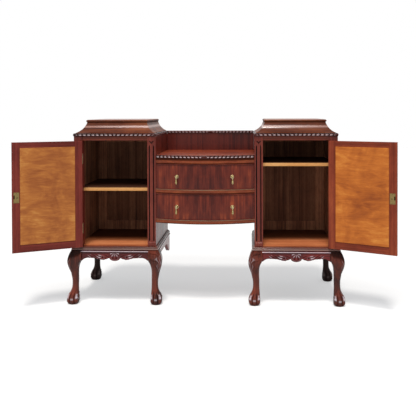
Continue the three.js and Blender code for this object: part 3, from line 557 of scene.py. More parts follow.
def gadroon_section():
    """Rows of (share of height, inset) round the swelling of a gadroon, from its foot to its top."""
    for t in np.linspace(0, 1, SECTION_STEPS + 1):
        drawn = GADROON_UNDER if t < 0.5 else GADROON_OVER
        yield t, drawn * (1 - math.sqrt(max(0, 1 - (2 * t - 1) ** 2)))


def joined(first, *others):
    """Runs that each start where the last one ends, as one run."""
    return np.concatenate([first, *(other[1:] for other in others)])


def cap_line(inner, outer, insets, z):
    """Line round a cap, inset from its edges: up the inner side, along the front, down the outer side."""
    near, front, far = insets
    return joined(stack(inner + near, DEPTH + (near - DEPTH) * ALONG[0], z),
                  stack(inner + front + (outer - inner - 2 * front) * ALONG[1], front, z),
                  stack(outer - far, far + (DEPTH - far) * ALONG[2], z))


def cap_gadroon(inner, outer):
    lengths = (DEPTH, outer - inner, DEPTH)
    from_corner = (1 - ALONG[0], np.minimum(ALONG[1], 1 - ALONG[1]), ALONG[2])
    rows, marks = [], []
    for t, drawn in gadroon_section():
        sides = [gadroon_line(share * length, length / count, t, share * length)
                 for share, length, count in zip(from_corner, lengths, CAP_LOBES)]
        rows.append(cap_line(inner, outer, [drawn + deep for deep, _ in sides], GADROON_LOW + t * GADROON_HEIGHT))
        marks.append(joined(*(mark for _, mark in sides)))
    for at, z in ((0, GADROON_LOW), (len(rows) + 1, GADROON_LOW + GADROON_HEIGHT)):
        rows.insert(at, cap_line(inner, outer, [GADROON_BACK] * 3, z))
        marks.insert(at, 0 * marks[0])
    return Shape().grid(rows, marks=marks, tube=False)


COVE_FOOT, COVE_TOP = 13, 68  # insets from the edge of the gadroon
COVE_HEIGHT = 60
COVE_HOLLOW = 9
COVE_FILLET = 2
COVE_STEPS = 24
NECK = 8
# Nose of the slab over the neck: inset and height
SLAB_NOSE = [(66.6, 0), (64.7, 1), (64, 3), (64.1, 5.2), (65, 7.6), (66.8, 9.8), (69.4, 11.5), (72.6, 12.6), (76, 13)]


def three_sides(x0, x1, y0, z):
    """Corners of a level outline that reaches to the back."""
    return [(x0, DEPTH, z), (x0, y0, z), (x1, y0, z), (x1, DEPTH, z)]


def cap_top(inner, outer):
    """Fillet, cove, neck and slab over the gadroon."""
    base = GADROON_LOW + GADROON_HEIGHT
    cove = base + COVE_FILLET
    levels = [(COVE_FOOT + 4, base - 6), (COVE_FOOT, base - 1), (COVE_FOOT, cove)]
    # Painted shade on the fillet under the gadroon, a painted highlight band across the cove, painted shade on the neck
    # and slab front, and a painted highlight along the slab's top
    marks = [HOLLOW, 0.6 * HOLLOW, 0.3 * HOLLOW]
    for t in np.linspace(0, 1, COVE_STEPS + 1)[1:]:
        hollow = COVE_HOLLOW * 4 * t * (1 - t) / math.sqrt(2)
        levels.append((COVE_FOOT + (COVE_TOP - COVE_FOOT) * t + hollow, cove + COVE_HEIGHT * t - hollow))
        marks.append(0.8 * CREST * bell(t, 0.71, 0.13))
    neck = cove + COVE_HEIGHT
    levels += [(COVE_TOP, neck + 1), (COVE_TOP, neck + NECK)]
    levels += [(inset, neck + NECK + rise) for inset, rise in SLAB_NOSE]
    marks += [0.25 * HOLLOW, 0.6 * HOLLOW] + [0.15 * HOLLOW] * 6 + [0.65 * CREST] * 3
    return Shape().grid([three_sides(inner + d, outer - d, d, z) for d, z in levels], 1, np.repeat(marks, 4))


def make_caps():
    inner, outer = low("right_cap")[0], high("right_cap")[0]
    core_top = GADROON_LOW + GADROON_HEIGHT - CORE_PLAY
    for name, side in SIDES:
        shape = cap_gadroon(inner, outer).add(cap_top(inner, outer))
        shape.board((inner + CORE, CORE, GADROON_LOW + CORE_PLAY), (outer - CORE, DEPTH, core_top), 1)
        make_piece(name + "_moulded_top", shape, "carcass", [name + "_cap"],
                   [gadroon_wood, cap_wood], 30, side)


# ---------------------------------------------------------------- bowed centre
BOW = 55
BOW_RADIUS = (CARCASS_IN**2 + BOW**2) / (2 * BOW)
BOW_STEPS = 61
RAIL_SETBACK, RAIL_BACK = 3, 25
DUST_BOARD, DUST_BOARD_FRONT = 12, 20
SPLASH_THICK, SPLASH_STEP, SPLASH_MOULDING = 22, 4, 16


def bow_y(x):
    return FACE - (np.sqrt(BOW_RADIUS**2 - x**2) - (BOW_RADIUS - BOW))


def bow_loft(xs, section, kind=0, marks=None):
    """Closed section of (setback, z) carried along the bow."""
    return Shape().grid([[(x, bow_y(x) + s, z) for s, z in section] for x in xs], kind, marks)


def soft_section(front, back, bottom, top, edge=1.0):
    """Rectangle with rounded corners, as (setback, z)."""
    corners = ((front + edge, bottom + edge), (back - edge, bottom + edge), (back - edge, top - edge),
               (front + edge, top - edge))
    return [(y + edge * math.cos(a), z + edge * math.sin(a)) for quarter, (y, z) in enumerate(corners)
            for a in math.pi + quarter * math.pi / 2 + np.linspace(0, math.pi / 2, 4)]


def rail_shape(xs, bottom, top, under_moulding):
    """Bowed rail: painted shade under a moulding and along its lower edge, and a painted highlight along a free upper
    edge.
    """
    front, line = RAIL_SETBACK, 4
    shaded = 10 if under_moulding else line
    section = soft_section(front, RAIL_BACK, bottom, top)
    section += [(front, top - 2), (front, top - shaded), (front, top - shaded - line), (front, bottom + 1.6 * line),
                (front, bottom + 0.6 * line)]
    # Painted shade under a moulding, or a painted highlight along a free upper edge
    upper = 0.95 * HOLLOW + 0 * xs if under_moulding else CREST * (0.75 + 0.25 * bell(xs, 0, 0.5 * CENTRE_HALF))
    marks = np.full((len(xs), len(section)), PLAIN)
    marks[:, :4] = marks[:, -1] = 0.9 * HOLLOW
    marks[:, 12:18 if under_moulding else 17] = upper[:, None]
    return bow_loft(xs, section, marks=marks)


def straight_gadroon(half, line, bottom, top, inside, back):
    """Gadroon edge across the centre, with a leaf in its middle; line(x) is the depth of its crests."""
    xs = np.linspace(-half, half, CENTRE_LOBES * LOBE_STEPS + 1)
    rows, marks = [stack(xs, back, bottom), stack(xs, line(xs) + inside, bottom)], [0 * xs] * 2
    for t, drawn in gadroon_section():
        deep, mark = gadroon_line(half - np.abs(xs), 2 * half / CENTRE_LOBES, t, np.abs(xs))
        rows.append(stack(xs, line(xs) + drawn + deep, bottom + t * (top - bottom)))
        marks.append(mark)
    rows += [stack(xs, line(xs) + inside, top), stack(xs, back, top)]
    marks += [0 * xs] * 2
    return Shape().grid(np.swapaxes(rows, 0, 1), marks=np.transpose(marks))


def serving_shape():
    """Serving top: a gadroon that follows the bow, and its upper face, which is of another wood."""
    shape = straight_gadroon(CENTRE_HALF, bow_y, SHELF_UNDER, SHELF_TOP, 16, high("centre_top")[1])
    shape.kinds = [int(min(shape.points[i][2] for i in face) > SHELF_TOP - 0.001) for face in shape.faces]
    return shape


def splash_shape():
    """Board behind the serving top, narrower between the caps, with a gadroon along its upper edge."""
    lo, hi = low("splashback"), high("splashback")
    back, half, height = hi[1], (hi[0] - lo[0]) / 2, SPLASH_MOULDING
    front, upper = back - SPLASH_THICK, half - SPLASH_STEP
    shape = Shape().board((-half, front, lo[2]), (half, back, GADROON_LOW - 0.5), 1)
    shape.board((-upper, front, GADROON_LOW - 2), (upper, back, hi[2] - height + 2), 1)
    return shape.add(straight_gadroon(upper, lambda xs: front - 7, hi[2] - height, hi[2], 10, back))


def make_centre():
    for name, shape, node, plain_wood in (("serving_top", serving_shape(), "centre_top", top_wood),
                                          ("splash_board", splash_shape(), "splashback", splash_wood)):
        make_piece(name, shape, "carcass", [node], [gadroon_wood, plain_wood], 30)
    xs = np.linspace(-CENTRE_HALF, CENTRE_HALF, BOW_STEPS)
    for node, boarded in (("centre_top_rail", False), ("centre_mid_rail", True), ("centre_bottom_rail", True)):
        bottom, (_, back, top) = low(node)[2], high(node)
        shape = rail_shape(xs, bottom, top, not boarded)
        if boarded:
            front, under = DUST_BOARD_FRONT, top - DUST_BOARD
            shape.grid([[(x, bow_y(x) + front, under), (x, back, under), (x, back, top), (x, bow_y(x) + front, top)]
                        for x in xs], 1)
        make_piece(node + "_bowed", shape, "carcass", [node], [rail_wood, inside], 35)


def drawer_front(lo, hi):
    """Bowed front with a bead round it that stands proud of the veneer."""
    bead, proud, bead_back = 4, 2, 21
    half, z0, z1 = (hi[0] - lo[0]) / 2, lo[2], hi[2]
    inner = half - bead
    shape = bow_loft(np.linspace(-inner, inner, BOW_STEPS), soft_section(RAIL_SETBACK, 24, z0 + bead, z1 - bead, 0.4))
    for at in (z0 + bead / 2, z1 - bead / 2):
        section = [(RAIL_SETBACK - 2 * proud * math.cos(a) if math.cos(a) > 0 else bead_back,
                    at + bead / 2 * math.sin(a)) for a in circle(12)]
        shape.add(bow_loft(np.linspace(-half, half, BOW_STEPS), section, 1))
    back = bow_y(half) + bead_back
    for end in (-1, 1):
        middle = end * (half - bead / 2)
        ring = [(middle + bead / 2 * math.cos(a), proud * math.sin(a)) for a in np.linspace(0, math.pi, 9)]
        ring = [(x, bow_y(x) + RAIL_SETBACK - out) for x, out in ring]
        ring += [(middle - bead / 2, back), (middle + bead / 2, back)]
        shape.grid([[(x, y, z) for x, y in ring] for z in (z0, z1)], 1)
    return shape


def make_drawers():
    for name in ("upper_drawer", "lower_drawer"):
        node = name + "_front"
        make_piece(name + "_veneered", drawer_front(low(node), high(node)), name, [node],
                   [flame, mahogany["X"]], 35)


# ---------------------------------------------------------------- drop pulls
ROSE_REACH = 12  # from the pin back to the drawer's face
ROSE = [(0.2, 0), (12.6, 0), (13, 0.5), (12.8, 1.2), (11.6, 2.2), (10.6, 3.6), (9.4, 4), (8.4, 3.2), (7.4, 2.6),
        (6.2, 3.2), (5.4, 5), (4.6, 7), (3.2, 8), (2.5, 8.6), (2.5, 12.4), (2.1, 13.8), (1.2, 14.5), (0.2, 14.5)]
PETALS = (0, 0.01, 0.02, 0.035, 0.05, 0.06, 0.05, 0.03, 0.02)  # depth between the petals, by step of the rose
DROP_TOP = 6.5  # from the pin down to the drop
DROP = [(0.3, 0), (2.2, 0.3), (2, 1.4), (1.7, 3), (2.6, 4.6), (3.6, 6.6), (3.4, 7.8), (2.2, 9.2), (2.1, 10.2),
        (3.4, 13), (4.7, 17), (5.9, 21.5), (6.7, 26), (6.6, 29.5), (5.7, 32.5), (4.2, 34.8), (2.8, 36.4), (2.5, 37.2),
        (2.7, 38.2), (1.9, 39.4), (0.3, 40)]
EAR_X, EAR_HALF = 4.1, 1  # ears of the pendant on its pin


def pull_matrix(joint):
    """Pull's own place: X along its pin, -Y out of the drawer, origin on the pin."""
    across = -Vector(joint["axis"]).normalized()
    up = Vector((0, 0, 1))
    turn = Matrix((across, up.cross(across), up)).transposed().to_4x4()
    return Matrix.Translation(Vector(joint["pos_m"])) @ turn


def rose_shape():
    def petals(angle, step):
        return 1 - (PETALS[step] if step < len(PETALS) else 0) * (1 - np.abs(np.cos(8 * angle)))
    pin = Shape().lathe([(1.2, -5.5), (1.5, -5.1), (1.5, 5.1), (1.2, 5.5)], 16).put((1, 0, 2))
    return Shape().lathe([(r, ROSE_REACH - d) for r, d in ROSE], 64, 0, petals).add(pin)


def drop_shape():
    def reeds(angle, step):
        return 1 - 0.07 * max(0, 1 - abs(step - 12.5) / 4.5) * (1 - np.abs(np.cos(5 * angle)))
    shape = Shape().lathe([(r, DROP_TOP + d) for r, d in DROP], 40, 0, reeds).put((0, 2, 1), (1, 1, -1))
    for x in (-EAR_X, EAR_X):
        ear = Shape().lathe([(3.2, -EAR_HALF), (3.6, -0.7), (3.6, 0.7), (3.2, EAR_HALF)], 24)
        shape.add(ear.put((1, 0, 2), at=(x, 0, 0)))
        shape.board((x - EAR_HALF, -2.4, -8), (x + EAR_HALF, 2.4, -1), 0, 0.4)
    return shape.board((-EAR_X - EAR_HALF, -2.6, -8.2), (EAR_X + EAR_HALF, 2.6, -5))


def make_pulls():
    for joint in frame["joints"]:
        if joint["name"].endswith("_pull_lift"):
            name = joint["name"].removesuffix("_pull_lift")
            place = pull_matrix(joint)
            for end, shape, body, node in (("_plate", rose_shape(), joint["parent"], "_rose"),
                                           ("_pendant", drop_shape(), joint["child"], "_drop")):
                make_piece(name + end, shape, body, [name + node], [brass], 40, 0, place)


# ---------------------------------------------------------------- doors
DOOR_THICKNESS = 20
DOOR_BACK = FACE + DOOR_THICKNESS
DOOR_GAP = 1.5
FREE_STILE, HINGE_STILE = 45, 43
TOP_RAIL, BOTTOM_RAIL = 33, 45
REBATE_DEPTH = 9
LOCK_INSET, LOCK_WIDTH, LOCK_HALF, LOCK_DEPTH = 9, 32, 31.5, 12
LOCK_PLAY = 0.2
BOLT_HALF, BOLT_NEAR, BOLT_FAR, BOLT_END = 11.3, 2.2, 9.8, 27.2
KEYHOLE_INSET = 15


def free_stile(shape, x0, z0, z1, middle):
    """Stile at the free edge, let in for the lock and open for its bolt."""
    x1, hidden, floor = x0 + FREE_STILE, 0.1, DOOR_BACK - LOCK_DEPTH
    near, far = x0 + LOCK_INSET, x0 + LOCK_INSET + LOCK_WIDTH
    lock_low, bolt_low, bolt_high, lock_high = (middle + d for d in (-LOCK_HALF, -BOLT_HALF, BOLT_HALF, LOCK_HALF))
    shape.board((x0, FACE, z0), (x1, floor, z1), 0, 0.4)
    for z, top in ((z0, lock_low), (lock_high, z1)):
        shape.board((x0, floor - hidden, z), (x1, DOOR_BACK, top), 0, 0.4)
    shape.board((far, floor, lock_low), (x1, DOOR_BACK, lock_high), 0, hidden)
    for z, top in ((lock_low, bolt_low), (bolt_high, lock_high)):
        shape.board((x0, floor, z), (near, DOOR_BACK, top), 0, hidden)
    for y, back in ((DOOR_BACK - BOLT_NEAR, DOOR_BACK), (floor, DOOR_BACK - BOLT_FAR)):
        shape.board((x0, y, bolt_low), (near, back, bolt_high), 0, hidden)


def framed_ring(x0, x1, z0, z1, profile):
    """Moulding mitred round a rectangle: profile of (inset, y)."""
    return Shape().grid([[(x0 + d, y, z0 + d), (x1 - d, y, z0 + d), (x1 - d, y, z1 - d), (x0 + d, y, z1 - d)]
                         for d, y in profile], ring=True)


def door_frame_shape(x0, x1, z0, z1):
    """Joined frame in its closed place; the free stile is at x0. Kinds: stiles, rails, brass."""
    left, right, bottom, top = x0 + FREE_STILE, x1 - HINGE_STILE, z0 + BOTTOM_RAIL, z1 - TOP_RAIL
    shape = Shape()
    free_stile(shape, x0, z0, z1, (z0 + z1) / 2)
    shape.board((right, FACE, z0), (x1, DOOR_BACK, z1))
    shape.board((left, FACE, z0), (right, DOOR_BACK, bottom), 1)
    shape.board((left, FACE, top), (right, DOOR_BACK, z1), 1)
    lip = DOOR_BACK - REBATE_DEPTH
    profile = [(0, lip), (0, FACE + 2)] + [(i, FACE - 3 * math.sin(math.pi * i / 9)) for i in range(1, 9)]
    profile += [(9, FACE + 1), (9, lip - 1), (8, lip)]
    return shape.add(framed_ring(left - 1, right + 1, bottom - 1, top + 1, profile))


def door_panel_shape(x0, x1, z0, z1):
    """Panel with golden veneer behind and flame veneer in front."""
    left, front, bottom = x0 + FREE_STILE + SEAT, DOOR_BACK - REBATE_DEPTH + SEAT, z0 + BOTTOM_RAIL + SEAT
    right, top = x1 - HINGE_STILE - SEAT, z1 - TOP_RAIL - SEAT
    shape = Shape().board((left, front + 2, bottom), (right, DOOR_BACK + 2, top), 0, 1.2)
    return shape.board((left, front, bottom), (right, front + 2.5, top), 1, 0.4)


def knuckle_shape(x, y, heights):
    """Middle knuckles of the hinges, with the web that ties each to the door."""
    length, web = 20.7, 13
    shape = Shape()
    for z in heights:
        rings = [[(x + radius * math.cos(a), y + radius * math.sin(a), z + share * length) for a in circle(20)]
                 for share, radius in ((-0.5, 3.1), (-0.47, 3.6), (0.47, 3.6), (0.5, 3.1))]
        shape.grid(rings, 2)
        shape.board((x - 2.15, y, z - length / 2), (x - 0.15, y + web, z + length / 2), 2, 0.3)
    return shape


def screw():
    """Slotted screw head facing along Y."""
    radius = 1.9
    shape = Shape().lathe([(radius, 0), (radius, 0.5), (radius * 0.7, 0.9), (radius * 0.2, 1)], 20)
    return shape.board((-radius * 0.8, 0.85, -0.35), (radius * 0.8, 1.1, 0.35), 1, 0.1)


def lock_shape(x0, z):
    """Cut lock let into the free stile, hollow where its bolt runs, with a near-black patch near the edge as painted
    shade of an opening.
    """
    back = DOOR_BACK
    near, far = x0 + LOCK_INSET + LOCK_PLAY, x0 + LOCK_INSET + LOCK_WIDTH - LOCK_PLAY
    half = LOCK_HALF - LOCK_PLAY
    floor, plate = back - LOCK_DEPTH + LOCK_PLAY, back - BOLT_NEAR + 0.1
    shape = Shape().board((near, plate, z - half), (far, back + 0.3, z + half), 0, 0.6)
    shape.board((near, floor, z - half), (far, back - BOLT_FAR, z + half), 0, 0.3)
    for x, bottom, top in ((near, -half, -BOLT_HALF), (near, BOLT_HALF, half), (x0 + BOLT_END, -BOLT_HALF, BOLT_HALF)):
        shape.board((x, floor, z + bottom), (far, plate + 0.2, z + top), 0, 0.1)
    shape.board((near + 3, back, z - half + 3), (far - 3, back + 0.8, z + half - 3), 0, 0.4)
    for dx, dz in ((15, 25), (27, 25), (15, -25), (27, -25)):
        shape.add(screw().put(at=(x0 + dx, back + 0.6, z + dz)))
    ring = Shape().lathe([(5, 0), (5, 0.8), (4.2, 1.2), (2.6, 1.2), (2.2, 0.8), (0.3, 0.8)], 28)
    shape.add(ring.put(at=(x0 + 29, back, z)))
    return shape.board((near + 0.5, back, z - 7), (near + 7, back + 1, z + 15), 1, 0.2)


def escutcheon_shape(x, z):
    """Keyhole plate on the outer face of the free stile."""
    a = circle(32)
    reach = 9 + 2.2 * np.cos(2 * a) + 1.2 * np.cos(4 * a)
    u, v = reach * 0.8 * np.cos(a + math.pi / 2), reach * 1.25 * np.sin(a + math.pi / 2)
    shape = Shape().grid([stack(u * scale, y, v * scale) for scale, y in ((1, 0), (1, -0.9), (0.9, -1.5), (0.3, -1.7))])
    # The keyhole and its slot are near-black patches, painted shade
    shape.lathe([(2.2, -1.5), (2.2, -1.85)], 20, 1).board((-1, -1.85, -6), (1, -1.5, 0), 1, 0.1)
    return shape.put(at=(x, FACE, z))


def make_doors():
    for name, side in SIDES:
        joint = next(j for j in frame["joints"] if j["name"] == name + "_door_swing")
        place = Vector(joint["pos_m"])
        turn = Matrix.Rotation(math.radians(-joint["range_deg"][0]), 4, Vector(joint["axis"]))
        swung = Matrix.Translation(place) @ turn @ Matrix.Translation(-place)
        hinge_x, hinge_y, _ = (np.array(joint["pos_m"]) / MM - ORIGIN) * (side, 1, 1)
        x0 = max(side * corner(name + "_post_inner")[0] for corner in (low, high)) + DOOR_GAP
        x1 = hinge_x - DOOR_GAP / 2
        z0, z1 = low(name + "_door_frame")[2], high(name + "_door_frame")[2]
        middle = (z0 + z1) / 2
        heights = [(low(f"{name}_hinge_{end}")[2] + high(f"{name}_hinge_{end}")[2]) / 2 for end in ("lower", "upper")]
        joinery = door_frame_shape(x0, x1, z0, z1).add(knuckle_shape(hinge_x, hinge_y, heights))
        panel = door_panel_shape(x0, x1, z0, z1)
        stiles = frame_wood[name]
        for piece, shape, nodes, slot, materials in (
            ("door_joinery", joinery, ["_door_frame"], "mahogany", [stiles["Z"], stiles["X"], brass]),
            ("door_veneer", panel, ["_door_panel"], "golden_veneer", [golden[name], flame_door]),
            ("lock_plate", lock_shape(x0, middle), ["_door_lock"], "aged_brass", [lock_brass, keyhole_shade]),
            ("keyhole_plate", escutcheon_shape(x0 + KEYHOLE_INSET, middle), [], "aged_brass", [brass, keyhole_shade]),
        ):
            make_piece(f"{name}_{piece}", shape, name + "_door", [name + node for node in nodes], materials,
                       35, side, swung)


# ---------------------------------------------------------------- base boards
BASE_EDGE = 15
BASE_THICKNESS = 19
# Edge from its foot to its top: share of the thickness, share of how far it stands out
BASE_PROFILE = [(0.0, 0.62), (0.04, 0.8), (0.1, 0.94), (0.18, 1.0), (0.3, 1.0), (0.4, 0.95), (0.48, 0.84), (0.52, 0.76),
                (0.56, 0.76), (0.58, 0.8), (0.7, 0.8), (0.72, 0.72), (0.76, 0.62), (0.82, 0.53), (0.9, 0.46),
                (0.96, 0.42), (1.0, 0.36)]
POST_WIDTH, POST_DEPTH = 51, 50
BEARER = 14  # how far the floor reaches under the sides


def make_bases():
    base_low, floor_top = LEG_TOP, high("right_base_board")[2]
    lines = [three_sides(CARCASS_IN - out * BASE_EDGE, CARCASS_OUT + out * BASE_EDGE, FACE - out * BASE_EDGE,
                         base_low + share * BASE_THICKNESS) for share, out in BASE_PROFILE]
    # Painted shade in the drawn-in bands and the foot, painted highlights along the rounds
    marks = [HOLLOW * (out < 0.79 and share < 0.8) + 0.7 * CREST * (0.15 < share < 0.42 or 0.57 < share < 0.71)
             for share, out in BASE_PROFILE]
    floor_low = base_low + BASE_THICKNESS - 3
    inner, outer = high("right_side_inner")[0] - BEARER + SEAT, low("right_side_outer")[0] + BEARER - SEAT
    near, far = high("right_post_inner")[0] + SEAT, CARCASS_OUT - POST_WIDTH - SEAT
    step, behind = DOOR_BACK + 0.8, FACE + POST_DEPTH
    for name, side in SIDES:
        shape = Shape().grid(lines, 0, np.repeat(marks, 4))
        shape.board((near, step, floor_low), (far, behind + 2, floor_top), 1, 1)
        shape.board((inner, behind + SEAT, floor_low), (outer, DEPTH, floor_top), 1)
        make_piece(name + "_base_moulding", shape, "carcass", [name + "_base_board"],
                   [base_wood, inside_floor], 28, side)


# ---------------------------------------------------------------- aprons
APRON_THICK, APRON_PROUD, APRON_DROP = 22, 12, 48
APRON_STEPS = 300
CARVED_FROM, CARVED_STEPS = 16, 24  # the carving starts below the bead
BRACKET_DROP, BRACKET_RUN = 126, 150
SHELL_HALF = 33
EAR_LENGTH, EAR_REACH, EAR_HEIGHT = 38, 55, 60
LEG_BLOCK = 50
LEG_OVERLAP = 6
BEAD, BEAD_REACH, BEAD_TOP = 11, 6, 3


def ear_drop(past):
    """How much lower the edge reaches in an ear, which follows a quarter of an ellipse."""
    return EAR_HEIGHT * (1 - np.sqrt(1 - (np.clip(past, 0, EAR_LENGTH) / EAR_REACH) ** 2))


def apron_edge(run, half):
    """Depth of the lower edge, at a distance from the apron's middle."""
    scroll = 11 * bell(run / 64, 1.15, 0.45)
    leafy = 1.6 * np.abs(np.sin(math.pi * run / 19)) * smoothstep(run, 34, 50) * (1 - smoothstep(run, 120, 150))
    ear = ear_drop(run - (half - LEG_OVERLAP - EAR_LENGTH))
    petal = 19 * np.sqrt(np.clip(1 - (run / SHELL_HALF) ** 2, 0, 1))
    return APRON_DROP + np.maximum(np.maximum(scroll + leafy, petal), ear)


def bracket_edge(along_x, start, end):
    """Depth of the lower edge where one end has no leg: straight, then sweeping down to the back corner."""
    deep = APRON_DROP + (BRACKET_DROP - APRON_DROP) * smoothstep(along_x, end - BRACKET_RUN, end)
    return max(deep, APRON_DROP + ear_drop(start + LEG_OVERLAP + EAR_LENGTH - along_x))


def shell_relief(run, down):
    """Scallop in the middle: how far it stands out, and its mark, which paints highlights on the flutes and rim and
    shade between the flutes and over the lower part.
    """
    radius = np.hypot(run / SHELL_HALF, (down - 26) / 36)
    flute = np.abs(np.cos(5 * np.arctan2(run, down - 14)))
    body = 1 - smoothstep(radius, 0.78, 0.9)
    rim = bell(radius, 0.97, 0.1)
    fade = smoothstep(down, 12, 20)
    out = 5 * (body * (0.5 + 0.5 * flute) + 0.7 * rim) * fade
    return out, fade * (body * (1.2 * flute - 0.4 - 0.7 * smoothstep(down, 30, 52)) + 0.5 * rim)


def strand_relief(run, down, deep, half):
    """Leaf strands along the edge, with an eye in each scroll: how far they stand out, and their mark, which paints
    highlights on the strands and the eye's ring and shade between them.
    """
    zone = smoothstep(run, 35, 42) * (1 - smoothstep(run, half - 60, half - 25)) * smoothstep(down / deep, 0.4, 0.62)
    drift = 0.35 * np.sin(run / 23) + 0.12 * np.sin(run / 9)
    stroke = np.abs(np.sin(math.pi * (run / 30 + (down - APRON_DROP) / 14 + drift))) ** 0.8
    eye = np.hypot(run - 74, down - 44) / 12
    ring = bell(eye, 0.75, 0.22)
    scroll = 1 - smoothstep(eye, 0.9, 1.15)
    out = 3.6 * zone * stroke * (1 - scroll) + 4.5 * scroll * (0.35 + 0.65 * ring)
    uneven = 0.78 + 0.22 * np.sin(run / 13 + 1)
    return out, zone * (2.0 * stroke * uneven - 0.9) * (1 - scroll) + scroll * (1.2 * ring - 0.6)


def apron_relief(run, down, deep, half):
    """How far the carving stands out at a distance from the middle and depths under the top, and its marks."""
    out, mark = strand_relief(run, down, deep, half)
    shell_out, shell_mark = shell_relief(run, down)
    beside = smoothstep(run, 26, 36)
    out = out * beside + shell_out - 2 * smoothstep(down / deep, 0.9, 1.0)
    return out, np.clip(mark * beside + shell_mark * (1 - beside), HOLLOW, CREST)


def apron_shape(start, end, bracket=False):
    """Apron in its own plane: x along, y outward, z up, with a bead under its top."""
    middle, half = (start + end) / 2, (end - start) / 2
    top = -SEAT
    angles = math.pi * np.arange(1, 9) / 9
    ring_top = [(-APRON_THICK, top), (0, top), (0, top - BEAD_TOP)]
    ring_top += [(BEAD_REACH * math.sin(a), top - BEAD_TOP - (BEAD - 1) * (1 - math.cos(a)) / 2) for a in angles]
    ring_top.append((0, top - BEAD_TOP - BEAD))
    # Painted highlight along the upper round of the bead, painted shade above and below it
    top_marks = [PLAIN, 0.5 * HOLLOW, 0.5 * HOLLOW, *CREST * np.sin(angles[:5]) ** 2, PLAIN, PLAIN, PLAIN, 0.5 * HOLLOW]
    rows, marks = [], []
    for along_x in np.linspace(start, end, APRON_STEPS + 1):
        run = abs(along_x - middle)
        deep = bracket_edge(along_x, start, end) if bracket else apron_edge(run, half)
        down = np.linspace(CARVED_FROM, deep, CARVED_STEPS)
        if bracket:
            relief, carving = -2 * smoothstep(down / deep, 0.88, 1.0), 0 * down
        else:
            relief, carving = apron_relief(run, down, deep, half)
        ring = ring_top + list(zip(relief, top - down))
        ring += [(-5, top - deep - 0.2), (-APRON_THICK + 2, top - deep), (-APRON_THICK, top - deep + 2)]
        rows.append([(along_x, y, z) for y, z in ring])
        marks.append([*top_marks, *carving, PLAIN, PLAIN, PLAIN])
    return Shape().grid(rows, marks=marks)


def make_aprons():
    past_leg = LEG_BLOCK - LEG_OVERLAP
    for name, side in SIDES:
        front = apron_shape(CARCASS_IN + past_leg, CARCASS_OUT - past_leg)
        front.put((0, 1, 2), (1, -1, 1), (0, FACE - APRON_PROUD, LEG_TOP))
        outer = apron_shape(FACE + past_leg, DEPTH - past_leg)
        outer.put((1, 0, 2), at=(CARCASS_OUT + APRON_PROUD, 0, LEG_TOP))
        inner = apron_shape(FACE + past_leg, DEPTH, True)
        inner.put((1, 0, 2), (-1, 1, 1), (CARCASS_IN - APRON_PROUD, 0, LEG_TOP))
        for piece, shape, node in (("carved_front", front, "front"), ("carved_side", outer, "outer"),
                                   ("plain_side", inner, "inner")):
            make_piece(f"{name}_{piece}", shape, "carcass", [f"{name}_apron_{node}"], [carved],
                       40, side)


# ---------------------------------------------------------------- legs
# Reach of a leg outwards and inwards, as a share of LEG_BLOCK, by share of its height
LEG_OUT = [(0, 0.6), (0.018, 0.68), (0.06, 0.76), (0.112, 0.77), (0.167, 0.65), (0.221, 0.38), (0.276, 0.22),
           (0.36, 0.16), (0.442, 0.21), (0.52, 0.33), (0.606, 0.48), (0.66, 0.6), (0.715, 0.68), (0.794, 0.74),
           (0.86, 0.68), (0.927, 0.54), (1, 0.36)]
LEG_IN = [(0, 0.66), (0.018, 0.74), (0.06, 0.81), (0.112, 0.8), (0.167, 0.76), (0.221, 0.69), (0.276, 0.66),
          (0.36, 0.64), (0.442, 0.62), (0.52, 0.58), (0.606, 0.56), (0.66, 0.58), (0.715, 0.64), (0.76, 0.74),
          (0.8, 0.88), (0.85, 0.98), (0.9, 1), (1, 1)]
LEG_SIDES, LEG_LEVELS = 112, 170
FOOT_TOP = 0.23
KNUCKLES = ((0.185, 0.022), (0.125, 0.026), (0.06, 0.026))
LEAF_TIP, LEAF_TOP = 0.56, 0.99
LEAF_RELIEF, LEG_SLIM = 2.6, 0.4  # how far the leaf stands out, and how far the leg itself draws in


def claw(angle, share):
    """Radius share and mark of the foot: four jointed toes that hold a ball; the mark paints highlights on the toes and
    the ball and shade between the toes and near the sole.
    """
    offs = [turned(angle, math.pi / 4 + k * math.pi / 2) for k in range(4)]
    toe = sum(np.exp(-((off / 0.25) ** 4)) for off in offs)
    gap = sum(bell(off, 0.4, 0.1) for off in offs)
    joint = sum(bell(share, at, wide) for at, wide in KNUCKLES)
    strength = (1 - smoothstep(share, FOOT_TOP - 0.06, FOOT_TOP + 0.04)) * smoothstep(share, -0.01, 0.02)
    ball = 1 - 0.08 * (1 - smoothstep(share, 0.16, 0.24))
    foot = 1 - smoothstep(share, 0.0, 0.1)
    centre = np.clip(1 - toe - gap, 0, 1) * bell(share, 0.1, 0.03)
    mark = toe * bell(share, 0.15, 0.05) * (0.5 + 0.7 * min(joint, 1.0)) - gap * (1 - 0.6 * foot) + 0.75 * centre
    return ball + strength * (toe * (0.07 + 0.09 * joint) - 0.05 * gap), strength * (mark - 0.3 * foot)


def knee_leaf(angle, share, spread):
    """Acanthus spread round the outward corner of the knee: its height from 0 to 1, and its mark, which paints
    highlights on the lobes and shade between them.
    """
    rise = (share - LEAF_TIP) / (LEAF_TOP - LEAF_TIP)
    if not 0 < rise < 1:
        return 0 * angle, 0 * angle
    width = spread * math.sqrt(rise) * (1 - 0.3 * rise) * (1 + 0.14 * math.sin(rise * 22))
    across = turned(angle, math.pi / 4) / width
    lobes = np.abs(np.sin(math.pi * (2.3 * across - 3.2 * rise)))
    vein = bell(across, 0, 0.12)
    fade = smoothstep(rise, 0, 0.2) * (1 - smoothstep(rise, 0.85, 1)) * (1 - smoothstep(across, 0.8, 1.1))
    return fade * (0.3 + 0.7 * lobes**0.6 * (1 - 0.5 * vein) + 0.4 * vein), fade * (1.3 * lobes + 0.3 * vein - 0.7)


